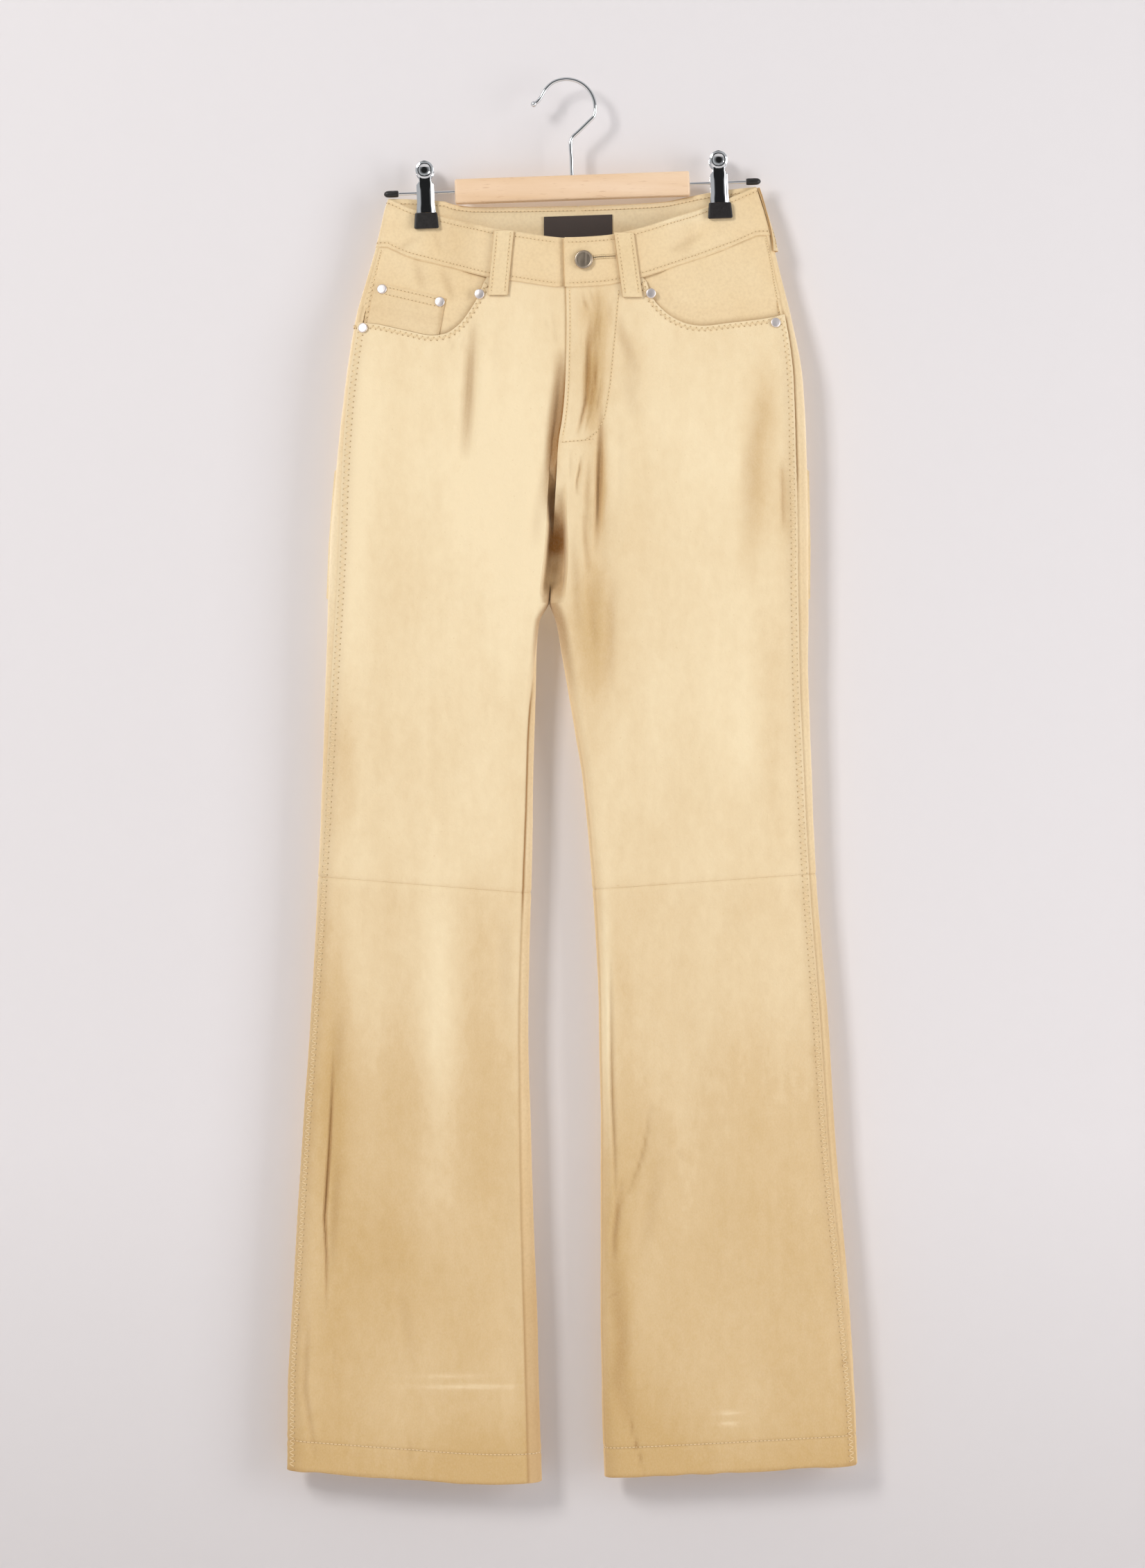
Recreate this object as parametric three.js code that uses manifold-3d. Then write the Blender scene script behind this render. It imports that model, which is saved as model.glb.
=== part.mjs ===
import * as THREE from "three";
import { mergeVertices } from "three/addons/utils/BufferGeometryUtils.js";
import Module from "manifold-3d";

// Flare pants in soft tan leather, hung flat by the waistband from a wooden clip hanger.
// Millimetres, +Z up. The front faces -Y. The origin is the inside top of the hanger's hook,
// where a rail or a nail carries it. "left" is the -X side, "right" the +X side.

// ---------------------------------------------------------------- driving dimensions
const WALL = 1.6; // one layer of leather
const GAP = 0.3; // between neighbouring pieces
const BAND_HEIGHT = 40.5;
const BAND_WALL = 2.4; // the waistband is a double layer
const BAND_PROUD = 0.6; // how far it stands out from the panels
const HEM_HEIGHT = 25; // turned up inside and sewn
const HEM_WALL = 2.6;
const HIP_Z = -234;
const CROTCH_Z = -444;
const PINCH_DEPTH = 2.1; // half of the flattened waist between a clip's jaws
const FOLD_DEPTH = 4.6; // half of it at the side folds
const FLY_WIDTH = 38;
const FLY_LIFT = 1.1; // the folded edge of the fly lies over the other front
const FLY_END_Z = -308;
const SEAT_START = -345; // where the back begins to part into two legs
// The hollow between the thighs, above the crotch: how far down each front turns in to it.
const HOLLOW = { left: [318, 350], right: [334, 392], top: -322, wall: 4, sunk: 1.5 };
const FACING_SUNK = -(WALL + GAP + 0.35); // a facing lies under the front cut away over it
const FACING_TUCK = 9; // how far it goes on below the pocket's mouth
const COIN = { wall: 1.2, topInner: [-101, -186.6], topOuter: [-168, -170], footInner: -107 };
const LOOP = { width: 16.5, length: 54, wall: 2.0 };
const BUTTON = { x: 15.3, z: -154.6, radius: 8, height: 3.4 };
const LABEL = { top: -113.5, width: 58, height: 28, rise: 2, wall: 1.0 };
const WIRE_RADIUS = 1.65;
const HOOK_RADIUS = 24.3; // to the middle of the wire
const HANGER_TILT = THREE.MathUtils.degToRad(2); // the hanger hangs with its right end higher
const BAR = { length: 199, height: 20.6, depth: 11, edge: 2.2, corner: 1.5 };
const BAR_Z = -90.8;
const STEM_X = 2.6;
const ROD_RADIUS = 1.25;
const ROD_REACH = 160; // from the stem to the tip of each end cap
const CAP_LENGTH = 12.5;
const CLIP_X = { left: -122, right: 127 };
const PINCH_X = { left: -118, right: 131 }; // where the jaws meet the waistband
const CLIP = { top: -64.5, shoulder: -84.6, wall: 1.5, halfWidth: 7.4, lean: 5 };
const PAD = { radius: 7.7, neck: 4.9 };
const JAW = { top: -108.4, bottom: -121.6, head: 9.4, foot: 10.6, depth: 3.8, corner: 1.4 };
const JAW_FACE = PINCH_DEPTH + BAND_PROUD + GAP + 0.15; // from the middle plane
const SLEEVE = { radius: 3.4, length: 12, clearance: 0.4 };

// ---------------------------------------------------------------- tables
const table = (columns, ...rows) =>
  rows.map((row) => Object.fromEntries(columns.map((name, i) => [name, row[i]])));

// The outer folds: x at each height, and how far inside them the outseam runs on the front.
const OUTER = {
  left: table(["z", "x", "seam"], [-88, -147.5, 4], [-100, -150.5, 4], [-134, -158.8, 4],
    [-169, -168.8, 4], [-205, -178.8, 4], [-255, -186.4, 4], [-313, -192.9, 5.5],
    [-402, -200.3, 9], [-490, -202.9, 7], [-577, -205.8, 5.3], [-666, -209.3, 5],
    [-784, -215.8, 6], [-901, -223.4, 6], [-1019, -230.5, 6], [-1108, -235.2, 6],
    [-1190, -236, 6]),
  right: table(["z", "x", "seam"], [-88, 161, 4], [-100, 164.8, 4.5], [-134, 174.8, 5],
    [-169, 183.5, 6], [-205, 192.3, 6.5], [-255, 201.1, 9], [-313, 204.6, 10.5],
    [-402, 206.4, 10.5], [-490, 205.8, 8.5], [-577, 208.4, 7.8], [-666, 212.3, 7],
    [-784, 221.7, 7.6], [-901, 229.3, 7.4], [-1019, 239.3, 6.5], [-1108, 244.6, 5.5],
    [-1190, 248.6, 5]),
};
// The inner folds below the crotch, and how far inside them the inseam runs on the front.
const INNER = {
  left: table(["z", "x", "seam"], [-444, -14.1, 0], [-460, -22.4, 0], [-490, -24.8, 1],
    [-549, -26.5, 4.7], [-607, -27.6, 5.3], [-666, -28.6, 6.5], [-784, -31.4, 7.6],
    [-901, -29.4, 9], [-1019, -25.3, 11], [-1108, -22.2, 11.5], [-1190, -20, 11.5]),
  right: table(["z", "x", "seam"], [-444, -14.1, 0], [-460, -8.2, 0], [-490, -2.9, 0.5],
    [-549, 7.4, 2.5], [-607, 15.7, 5], [-666, 21.4, 8], [-725, 25.3, 10],
    [-784, 28.2, 10], [-901, 29.6, 11], [-1019, 29.6, 11.5], [-1108, 30.4, 10],
    [-1190, 32.4, 9]),
};
// The centre seams above the crotch: the fly's edge in front, the seat seam behind.
const CENTRE = table(["z", "front", "back"], [-88, -0.6, 11.2], [-137, -0.6, 10],
  [-175, 0.3, 8], [-205, 0.9, 6], [-237, 0.4, 4], [-262, -0.5, 2.5], [-286, -2.6, 1],
  [-308, -6, 0], [-337, -7.8, -2], [-396, -11.2, -8], [-444, -14.1, -14.1]);
// How far each face stands from the middle plane, and how wide the outer folds round away.
const DEPTH = table(["z", "front", "back", "outerRound"], [-88, 23, 8, 5], [-140, 23, 8.5, 5.5],
  [-200, 21, 10, 10], [-260, 19, 11, 14], [-340, 18, 11, 16], [-444, 16.5, 10.5, 16],
  [-550, 14, 10, 16], [-670, 12.5, 10, 16], [-900, 13, 10, 16], [-1190, 15, 11, 18]);
// How wide the inner folds round away, or the hollow's sides are above the crotch.
const INNER_ROUND = {
  left: table(["z", "wide"], [-88, 9], [-310, 9], [-337, 6], [-362, 6.2], [-401, 6.8],
    [-433, 8.4], [-460, 6], [-550, 11], [-670, 13], [-900, 15], [-1190, 16]),
  right: table(["z", "wide"], [-88, 9], [-310, 9], [-350, 9.8], [-413, 14.4], [-444, 13],
    [-460, 10], [-550, 11], [-670, 13], [-900, 15], [-1190, 16]),
};
// The waistband's upper edges, front and back, from the left fold to the right one.
const FRONT_EDGE = table(["x", "z"], [-151, -100.5], [-130, -109.6], [-108, -115.4],
  [-61, -128.4], [-42, -131.4], [0, -136.6], [28, -135.4], [55, -130.4], [119, -108.2],
  [141, -99.6], [162, -90.6]);
const BACK_EDGE = table(["x", "z"], [-151, -100.5], [-125, -101.4], [-104, -102.8],
  [-95, -105.6], [-78, -107.2], [10.6, -105.8], [80, -103], [106, -98.8], [122, -95.6],
  [138, -93], [162, -90.4]);
// The pockets' mouths, cut out of the upper fronts, from the waistband to the outseam.
const POCKET = {
  left: table(["x", "z"], [-190, -206], [-177, -206.4], [-162.3, -207.6], [-136, -213.4],
    [-112, -218], [-102.3, -216.8], [-90.6, -209.6], [-78.2, -193], [-71.7, -181],
    [-67.6, -168.8]),
  right: table(["x", "z"], [67, -167], [70, -180.5], [80, -194.5], [91.7, -203.6],
    [104, -208.6], [115, -209.9], [140, -207], [173.5, -202.3], [200, -195]),
};
const POCKET_COLUMN = { left: 0.375, right: 0.33 }; // where the mouth's corner falls on the face
const KNEE = {
  left: table(["x", "z"], [-240, -672.5], [-36, -688.5]),
  right: table(["x", "z"], [20, -686], [240, -670.5]),
};
const HEM = {
  left: table(["x", "z"], [-240, -1176.4], [-152, -1182.5], [-51, -1188.6], [-15, -1187.6]),
  right: table(["x", "z"], [25, -1184], [255, -1172]),
};
// The largest creases: a trough (or a ridge, where depth is negative) from one end to the other.
const CREASES = table(["side", "face", "x0", "z0", "x1", "z1", "width", "depth"],
  ["left", "front", -78, -212, -87, -335, 8, 2.4],
  ["left", "front", -96, -225, -104, -420, 14, -1.6],
  ["left", "front", -30, -300, -40, -440, 12, -1.5],
  ["left", "front", -198, -770, -205, -1025, 6, 2.6],
  ["left", "front", -110, -700, -120, -980, 24, -1.8],
  ["left", "front", -60, -880, -48, -1130, 16, 1.8],
  ["right", "front", 21, -190, 12, -300, 6, 2.2],
  ["right", "front", 31, -215, 24, -312, 5, 1.8],
  ["right", "front", 29, -295, 30, -420, 6, 3.2],
  ["right", "front", 17, -370, 26, -455, 6, 2.4],
  ["right", "front", 46, -250, 52, -480, 11, -1.8],
  ["right", "front", 181, -330, 183, -392, 7, 2.4],
  ["right", "front", 74, -868, 44, -960, 9, 1.8],
  ["right", "front", 130, -720, 150, -1010, 24, -1.6],
  ["left", "back", -60, -250, -95, -400, 12, 2],
  ["left", "back", -170, -420, -188, -560, 10, 1.8],
  ["left", "back", -120, -640, -150, -760, 12, 1.6],
  ["right", "back", 60, -260, 92, -410, 12, 2],
  ["right", "back", 176, -430, 190, -570, 10, 1.8],
  ["right", "back", 110, -650, 150, -770, 12, 1.6]);

// ---------------------------------------------------------------- curves through the tables
const { clamp, lerp, smoothstep } = THREE.MathUtils;

// A smooth curve through a table's rows: cubic pieces whose slopes never overshoot.
function curve(rows, key, column) {
  const sorted = [...rows].sort((a, b) => a[key] - b[key]);
  const t = sorted.map((row) => row[key]);
  const v = sorted.map((row) => row[column]);
  const rise = t.slice(1).map((end, i) => (v[i + 1] - v[i]) / (end - t[i]));
  const slope = t.map((_, i) => {
    const before = rise[Math.max(i - 1, 0)];
    const after = rise[Math.min(i, rise.length - 1)];
    return before * after <= 0 ? 0 : (2 * before * after) / (before + after);
  });
  return (at) => {
    const a = clamp(at, t[0], t[t.length - 1]);
    const i = clamp(t.findIndex((end) => end >= a) - 1, 0, t.length - 2);
    const span = t[i + 1] - t[i];
    const f = (a - t[i]) / span;
    const cubic = f * f * (3 - 2 * f);
    return lerp(v[i], v[i + 1], cubic) + span * f * (1 - f)
      * ((1 - f) * slope[i] - f * slope[i + 1]);
  };
}

const SIDES = { left: -1, right: 1 };
const outerX = { left: curve(OUTER.left, "z", "x"), right: curve(OUTER.right, "z", "x") };
const innerX = { left: curve(INNER.left, "z", "x"), right: curve(INNER.right, "z", "x") };
const outerSeam = { left: curve(OUTER.left, "z", "seam"), right: curve(OUTER.right, "z", "seam") };
const innerSeam = { left: curve(INNER.left, "z", "seam"), right: curve(INNER.right, "z", "seam") };
const centreX = { front: curve(CENTRE, "z", "front"), back: curve(CENTRE, "z", "back") };
const faceDepth = { front: curve(DEPTH, "z", "front"), back: curve(DEPTH, "z", "back") };
const outerRound = curve(DEPTH, "z", "outerRound");
const innerRound = {
  left: curve(INNER_ROUND.left, "z", "wide"), right: curve(INNER_ROUND.right, "z", "wide"),
};
const edgeZ = { front: curve(FRONT_EDGE, "x", "z"), back: curve(BACK_EDGE, "x", "z") };
const pocketZ = { left: curve(POCKET.left, "x", "z"), right: curve(POCKET.right, "x", "z") };
const kneeZ = { left: curve(KNEE.left, "x", "z"), right: curve(KNEE.right, "x", "z") };
const hemZ = { left: curve(HEM.left, "x", "z"), right: curve(HEM.right, "x", "z") };

// ---------------------------------------------------------------- the garment's outer surface
// 1 where a face has turned in to the middle plane beside the centre seam, 0 above: in front
// it dips into the hollow, behind it follows a quarter of an ellipse down to the crotch.
function closure(side, face, z) {
  if (z <= CROTCH_Z) return 1;
  if (face === "front") return smoothstep(-z, ...HOLLOW[side]);
  const t = clamp((SEAT_START - z) / (SEAT_START - CROTCH_Z), 0, 1);
  return 1 - Math.sqrt(1 - t * t);
}

// 1 in the hollow, where the front's inner edge has a steep side and a level floor.
const hollow = (z) => smoothstep(-z, -HOLLOW.top, 352) * (1 - smoothstep(-z, 424, -CROTCH_Z));

// 1 where a clip's jaws hold the waist flat, fading to 0 around and below them.
function pinch(x, z) {
  const below = smoothstep(z, -188, -122);
  const away = Math.min(Math.abs(x - PINCH_X.left), Math.abs(x - PINCH_X.right));
  return below * (1 - smoothstep(away, 13, 46));
}

// How far a face stands from the middle plane at x: bowed between the clips at the waist,
// and gently crowned over each leg below.
function openDepth(side, face, x, z, across) {
  const whole = (x - outerX.left(z)) / (outerX.right(z) - outerX.left(z));
  const bow = Math.sin(Math.PI * clamp(whole, 0, 1)) ** 0.9;
  const crown = 0.82 + 0.18 * (1 - (2 * across - 1) ** 2);
  const hip = smoothstep(-z, 130, 265);
  const open = Math.max(faceDepth[face](z) * lerp(bow, crown, hip), FOLD_DEPTH);
  return lerp(open, PINCH_DEPTH, pinch(x, z));
}

// The creases' share of the depth at a point: a soft trough along each line, fading at its ends.
function creased(side, face, x, z) {
  return CREASES.filter((c) => c.side === side && c.face === face).reduce((sum, c) => {
    const [dx, dz] = [c.x1 - c.x0, c.z1 - c.z0];
    const t = ((x - c.x0) * dx + (z - c.z0) * dz) / (dx * dx + dz * dz);
    const away = Math.hypot(x - c.x0 - clamp(t, 0, 1) * dx, z - c.z0 - clamp(t, 0, 1) * dz);
    const ends = Math.sin(Math.PI * clamp(t, 0, 1)) ** 0.5;
    return sum + c.depth * ends * Math.exp(-((away / c.width) ** 2));
  }, 0);
}

// The right front is doubled from the fly's edge to its sewn curve.
function flyLift(x, z) {
  const inside = 1 - smoothstep(x - centreX.front(z), FLY_WIDTH - 6, FLY_WIDTH);
  const low = smoothstep(z, FLY_END_Z - 3, FLY_END_Z + 3);
  return FLY_LIFT * inside * low;
}

// A point of one side's section at height z. round runs once about the leg, 0 to 6: the inner
// fold or centre seam is 0, the front face 1 to 2, the outer fold 3, the back face 4 to 5.
function surface(side, round, z) {
  const turn = round > 6 ? round - 6 : round < 0 ? round + 6 : round;
  const face = turn <= 3 ? "front" : "back";
  const along = face === "front" ? turn : 6 - turn;
  const inner = z > CROTCH_Z ? centreX[face](z) : innerX[side](z);
  const width = Math.abs(outerX[side](z) - inner);
  const closed = closure(side, face, z);
  const steep = face === "front" ? hollow(z) : 0;
  const [wIn, wOut] = [innerRound[side](z), outerRound(z)];
  let distance;
  let share = 1;
  if (along < 1) {
    distance = wIn * lerp(along, 1 - Math.cos((along * Math.PI) / 2), closed * (1 - steep));
    const arc = Math.sqrt(1 - (1 - distance / wIn) ** 2);
    const rise = lerp(arc, smoothstep(distance, wIn - HOLLOW.wall, wIn), steep);
    share = 1 - closed * (1 - rise);
  } else if (along <= 2) {
    distance = lerp(wIn, width - wOut, along - 1);
  } else {
    const angle = ((3 - along) * Math.PI) / 2;
    distance = width - wOut * (1 - Math.cos(angle));
    share = Math.sin(angle);
  }
  const x = inner + SIDES[side] * distance;
  let depth = openDepth(side, face, x, z, distance / width) - creased(side, face, x, z);
  if (side === "right" && face === "front") depth += flyLift(x, z);
  const y = (face === "front" ? -1 : 1) * depth * share + HOLLOW.sunk * steep * (1 - share);
  return new THREE.Vector3(x, y, z);
}

// The outward normal there, from the surface's own slopes.
function normalAt(side, round, z) {
  const step = 0.01;
  const open = z > CROTCH_Z;
  const before = open && round < step ? round : round - step;
  const after = open && round > 6 - step ? round : round + step;
  const across = surface(side, after, z).sub(surface(side, before, z));
  const down = z > CROTCH_Z - 1 && z < CROTCH_Z + 1 ? [z, z - 1] : [z + 0.5, z - 0.5];
  const fall = surface(side, round, down[1]).sub(surface(side, round, down[0]));
  return across.cross(fall).multiplyScalar(-SIDES[side]).normalize();
}

// The place round the section where a face reaches x at height z, by halving.
function roundAt(side, x, z, [from, to] = [0, 3]) {
  const sign = SIDES[side] * (to > 3 ? -1 : 1);
  let [low, high] = [from, to];
  for (let i = 0; i < 24; i++) {
    const middle = (low + high) / 2;
    if (sign * (surface(side, middle, z).x - x) < 0) low = middle;
    else high = middle;
  }
  return (low + high) / 2;
}

// The round values of the two long seams, on the front face just inside the folds.
const outseam = (side, z) =>
  3 - (2 / Math.PI) * Math.acos(clamp(1 - outerSeam[side](z) / outerRound(z), 0, 1));
const inseam = (side, z) =>
  z > CROTCH_Z ? 0
    : (2 / Math.PI) * Math.acos(clamp(1 - innerSeam[side](z) / innerRound[side](z), 0, 1));

// ---------------------------------------------------------------- building walls
// A closed wall on a grid of { point, normal } cells: the outer skin, the skin that lies
// inside it by the wall's thickness, and the rim between them.
function wall(grid, thickness, flipped) {
  const [rows, columns] = [grid.length, grid[0].length];
  const depth = typeof thickness === "function" ? thickness : () => thickness;
  const cells = grid.flat();
  const outside = cells.map((c) => c.point);
  const inside = cells.map((c) => c.point.clone().addScaledVector(c.normal, -depth(c.point)));
  const outer = (i, j) => i * columns + j;
  const inner = (i, j) => cells.length + i * columns + j;
  const faces = [];
  const quad = (a, b, c, d) => faces.push(...(flipped ? [a, c, b, a, d, c] : [a, b, c, a, c, d]));
  for (let i = 0; i + 1 < rows; i++)
    for (let j = 0; j + 1 < columns; j++) {
      quad(outer(i + 1, j), outer(i + 1, j + 1), outer(i, j + 1), outer(i, j));
      quad(inner(i, j), inner(i, j + 1), inner(i + 1, j + 1), inner(i + 1, j));
    }
  const rim = (a, b) => quad(outer(...a), outer(...b), inner(...b), inner(...a));
  for (let j = 0; j + 1 < columns; j++) {
    rim([0, j], [0, j + 1]);
    rim([rows - 1, j + 1], [rows - 1, j]);
  }
  for (let i = 0; i + 1 < rows; i++) {
    rim([i + 1, 0], [i, 0]);
    rim([i, columns - 1], [i + 1, columns - 1]);
  }
  const made = new THREE.BufferGeometry().setFromPoints([...outside, ...inside]);
  made.setIndex(faces);
  return made;
}

// Draws a grid's four edges in by half a gap, so that neighbours stay apart at the seams.
function parted(grid) {
  const [rows, columns] = [grid.length, grid[0].length];
  const draw = (cell, next) => {
    const way = next.point.clone().sub(cell.point).setLength(GAP / 2);
    return { ...cell, point: cell.point.clone().add(way) };
  };
  const narrow = grid.map((row) => row.map((cell, j) => {
    if (j === 0) return draw(cell, row[1]);
    return j === columns - 1 ? draw(cell, row[columns - 2]) : cell;
  }));
  return narrow.map((row, i) => row.map((cell, j) => {
    if (i === 0) return draw(cell, narrow[1][j]);
    return i === rows - 1 ? draw(cell, narrow[rows - 2][j]) : cell;
  }));
}

// Splits the way through the stops into the counts of steps given between them.
function spread(stops, counts, easing = []) {
  const values = [stops[0]];
  counts.forEach((count, i) => {
    for (let k = 1; k <= count; k++)
      values.push(lerp(stops[i], stops[i + 1], (k / count) ** (easing[i] ?? 1)));
  });
  return values;
}

// The height where one of a grid's columns crosses a line z(x, round) drawn on the surface.
function crossing(side, columns, j, line) {
  if (typeof line === "number") return line;
  let z = line(SIDES[side] * 100, 0);
  for (let i = 0; i < 14; i++) {
    const round = columns(z)[j];
    z = lerp(z, line(surface(side, round, z).x, round), 0.7);
  }
  return z;
}

// A panel's grid: columns(z) gives the round values, and each zone of rows runs from one of
// the lines (a height, or z(x) on the surface) to the next in the given count of steps.
function panelGrid(side, columns, lines, counts, easing = []) {
  const heights = columns(CROTCH_Z).map((_, j) =>
    spread(lines.map((line) => crossing(side, columns, j, line)), counts, easing));
  return heights[0].map((_, i) => heights.map((column, j) => {
    const round = columns(column[i])[j];
    return { point: surface(side, round, column[i]), normal: normalAt(side, round, column[i]) };
  }));
}

// Moves a grid out (or in) along its normals.
const moved = (grid, by) => grid.map((row) => row.map((cell) => {
  const lift = typeof by === "function" ? by(cell.point) : by;
  return { ...cell, point: cell.point.clone().addScaledVector(cell.normal, lift) };
}));

// ---------------------------------------------------------------- materials
const finish = (color, roughness, metalness = 0) =>
  new THREE.MeshStandardMaterial({ color, roughness, metalness });
const LEATHER = { smooth: 0xe6cda5, suede: 0xe6c391, dark: 0xd8b98a };
const material = {
  suede: () => finish(LEATHER.suede, 0.85),
  smooth: () => finish(LEATHER.smooth, 0.6),
  edge: () => finish(LEATHER.dark, 0.7),
  label: () => finish(0x4c423e, 0.9),
  chrome: () => finish(0xd8d8d8, 0.08, 1),
  nickel: () => finish(0xae9d88, 0.3, 1),
  silver: () => finish(0xdedede, 0.2, 1),
  rubber: () => finish(0x26221f, 0.6),
  wood: () => finish(0xf2d3b2, 0.55),
};

const pants = new THREE.Group();
pants.name = "flare_pants_on_clip_hanger";
function add(name, geometry, look, parent = pants) {
  const mesh = new THREE.Mesh(geometry, look);
  mesh.name = name;
  parent.add(mesh);
  return mesh;
}

// ---------------------------------------------------------------- leg panels
const seamZ = (face) => (x) => edgeZ[face](x) - BAND_HEIGHT;

// The upper fronts end at the pocket's mouth beside the hips, and at the waistband's seam
// near the centre.
const pocketCorner = (side) => (side === "left" ? POCKET.left.at(-1).x : POCKET.right[0].x);
const frontTop = (side) => (x) => {
  const seam = seamZ("front")(x);
  const beyond = SIDES[side] * (x - pocketCorner(side)) > 0;
  return beyond ? Math.min(pocketZ[side](x), seam) : seam;
};

const frontColumns = (side, counts) => (z) =>
  spread([inseam(side, z), 1, 1 + POCKET_COLUMN[side], 2, outseam(side, z)], counts, [1, 1.2, 1.4]);
const backColumns = (side, counts) => (z) =>
  spread([outseam(side, z), 3, 4, 5, 6 + inseam(side, z)], counts);

for (const side of ["left", "right"]) {
  const [knee, hem] = [kneeZ[side], hemZ[side]];
  const hemSeam = (x) => hem(x) + HEM_HEIGHT;
  const upper = [HIP_Z, CROTCH_Z, knee];
  const lower = [knee, (x) => hemSeam(x) + 2, hemSeam, hem];
  const hemmed = (p) => (p.z < hemSeam(p.x) + 1 ? HEM_WALL : WALL);
  const panel = (name, grid, thickness, look) =>
    add(`${name}_${side}`, wall(parted(grid), thickness, side === "left"), look);
  panel("front_upper", panelGrid(side, frontColumns(side, [4, 6, 8, 2]),
    [frontTop(side), HIP_Z, HOLLOW.top, CROTCH_Z, knee], [2, 3, 8, 6], [1, 1, 0.9, 1.2]),
    WALL, material.suede());
  panel("back_upper", panelGrid(side, backColumns(side, [2, 3, 9, 4]), [seamZ("back"), ...upper],
    [3, 7, 6], [1, 0.8, 1.2]), WALL, material.smooth());
  panel("front_lower", panelGrid(side, frontColumns(side, [2, 3, 5, 2]), lower, [10, 1, 1]),
    hemmed, material.suede());
  panel("back_lower", panelGrid(side, backColumns(side, [2, 2, 7, 5]), lower, [9, 1, 1]),
    hemmed, material.smooth());
}

// ---------------------------------------------------------------- waistband
// Each half runs from the fly round the side fold to the seat seam. The left half goes on
// under the right one's end, where the button is sewn to it.
const bandEdge = (below) => (x, round) => edgeZ[round > 3 ? "back" : "front"](x) - below;
const UNDERLAP = [1.16, 1.08, 1, 0.55, 0.12]; // round values on the right side
const TUCKED = BAND_PROUD - BAND_WALL - GAP;

function bandGrid(side) {
  const rounds = spread([0, 1, 2, 3, 4, 5, 6], [2, 12, 3, 3, 9, 2]);
  const tucks = side === "left" ? UNDERLAP : [];
  const column = (on, round, lift) => {
    const high = crossing(on, () => [round], 0, bandEdge(0));
    const low = crossing(on, () => [round], 0, bandEdge(BAND_HEIGHT));
    return spread([high, low], [3]).map((z) => {
      const normal = normalAt(on, round, z);
      return { normal, point: surface(on, round, z).addScaledVector(normal, lift) };
    });
  };
  const proud = (round) =>
    side === "left" ? lerp(TUCKED, BAND_PROUD, smoothstep(round, 0, 1)) : BAND_PROUD;
  const all = [...tucks.map((round) => column("right", round, TUCKED)),
    ...rounds.map((round) => column(side, round, proud(round)))];
  return all[0].map((_, i) => all.map((cells) => cells[i]));
}

for (const side of ["left", "right"]) {
  const geometry = wall(parted(bandGrid(side)), BAND_WALL, side === "left");
  add(`waistband_${side}`, geometry, material.smooth());
}

// ---------------------------------------------------------------- pocket facings, coin pocket
// A facing is level with the waistband's seam and sinks under the front at the mouth.
function facingLift(side) {
  const corner = Math.abs(pocketCorner(side));
  return ({ x, z }) => {
    const above = smoothstep(z - frontTop(side)(x), 7, 20);
    const away = smoothstep(Math.abs(x), corner + 9, corner + 26);
    return lerp(FACING_SUNK, -0.1, above * away);
  };
}

const facingGrids = {};
for (const side of ["left", "right"]) {
  const start = 1 + POCKET_COLUMN[side] - 0.06;
  const columns = (z) => spread([start, 2, outseam(side, z)], [9, 3], [1.15]);
  const foot = (x) => frontTop(side)(x) - FACING_TUCK;
  const grid = panelGrid(side, columns, [seamZ("front"), foot], [7]);
  facingGrids[side] = moved(parted(grid), facingLift(side));
  add(`pocket_facing_${side}`, wall(facingGrids[side], WALL, side === "left"), material.smooth());
}

// A point of a grid between its rows at height z, at a fraction of the way between columns.
function onGrid(grid, column, z) {
  const j = Math.min(Math.floor(column), grid[0].length - 2);
  const f = column - j;
  const mix = (i) => ({
    point: grid[i][j].point.clone().lerp(grid[i][j + 1].point, f),
    normal: grid[i][j].normal.clone().lerp(grid[i][j + 1].normal, f).normalize(),
  });
  const cells = grid.map((_, i) => mix(i));
  const i = clamp(cells.findIndex((cell) => cell.point.z < z) - 1, 0, grid.length - 2);
  const t = (cells[i].point.z - z) / (cells[i].point.z - cells[i + 1].point.z);
  return {
    point: cells[i].point.clone().lerp(cells[i + 1].point, t),
    normal: cells[i].normal.clone().lerp(cells[i + 1].normal, t).normalize(),
  };
}

// The column of a grid that passes through x at height z.
function columnAt(grid, x, z) {
  let [low, high] = [0, grid[0].length - 1];
  for (let k = 0; k < 22; k++) {
    const middle = (low + high) / 2;
    if (Math.abs(onGrid(grid, middle, z).point.x) < Math.abs(x)) low = middle;
    else high = middle;
  }
  return (low + high) / 2;
}

// The coin pocket lies on the left facing, from a slanted top edge to the pocket's mouth.
function coinPocket() {
  const grid = facingGrids.left;
  const [[startX, startZ], [endX, endZ]] = [COIN.topInner, COIN.topOuter];
  const topZ = (x) => lerp(startZ, endZ, (x - startX) / (endX - startX));
  const rows = spread([0, 1], [5]).map((down) =>
    spread([0, 1], [7]).map((across) => {
      const edge = lerp(startX, COIN.footInner, down);
      const x = lerp(edge, lerp(endX + 8, endX, down), across);
      const z = lerp(topZ(x), pocketZ.left(x) + 0.7, down);
      return onGrid(grid, columnAt(grid, x, z), z);
    }));
  return moved(rows, GAP + COIN.wall);
}
add("coin_pocket", wall(coinPocket(), COIN.wall, true), material.smooth());

// ---------------------------------------------------------------- belt loops
// Flat straps sewn down at both ends, from the waistband's upper edge to below its seam.
const LOOPS = table(["name", "side", "face", "topX", "bottomX"],
  ["belt_loop_front_left", "left", "front", -51.5, -57],
  ["belt_loop_front_right", "right", "front", 49, 56.5],
  ["belt_loop_side_left", "left", "back", -138, -148],
  ["belt_loop_side_right", "right", "back", 155, 176.5],
  ["belt_loop_back", "right", "back", 20.5, 20.5]);

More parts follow.
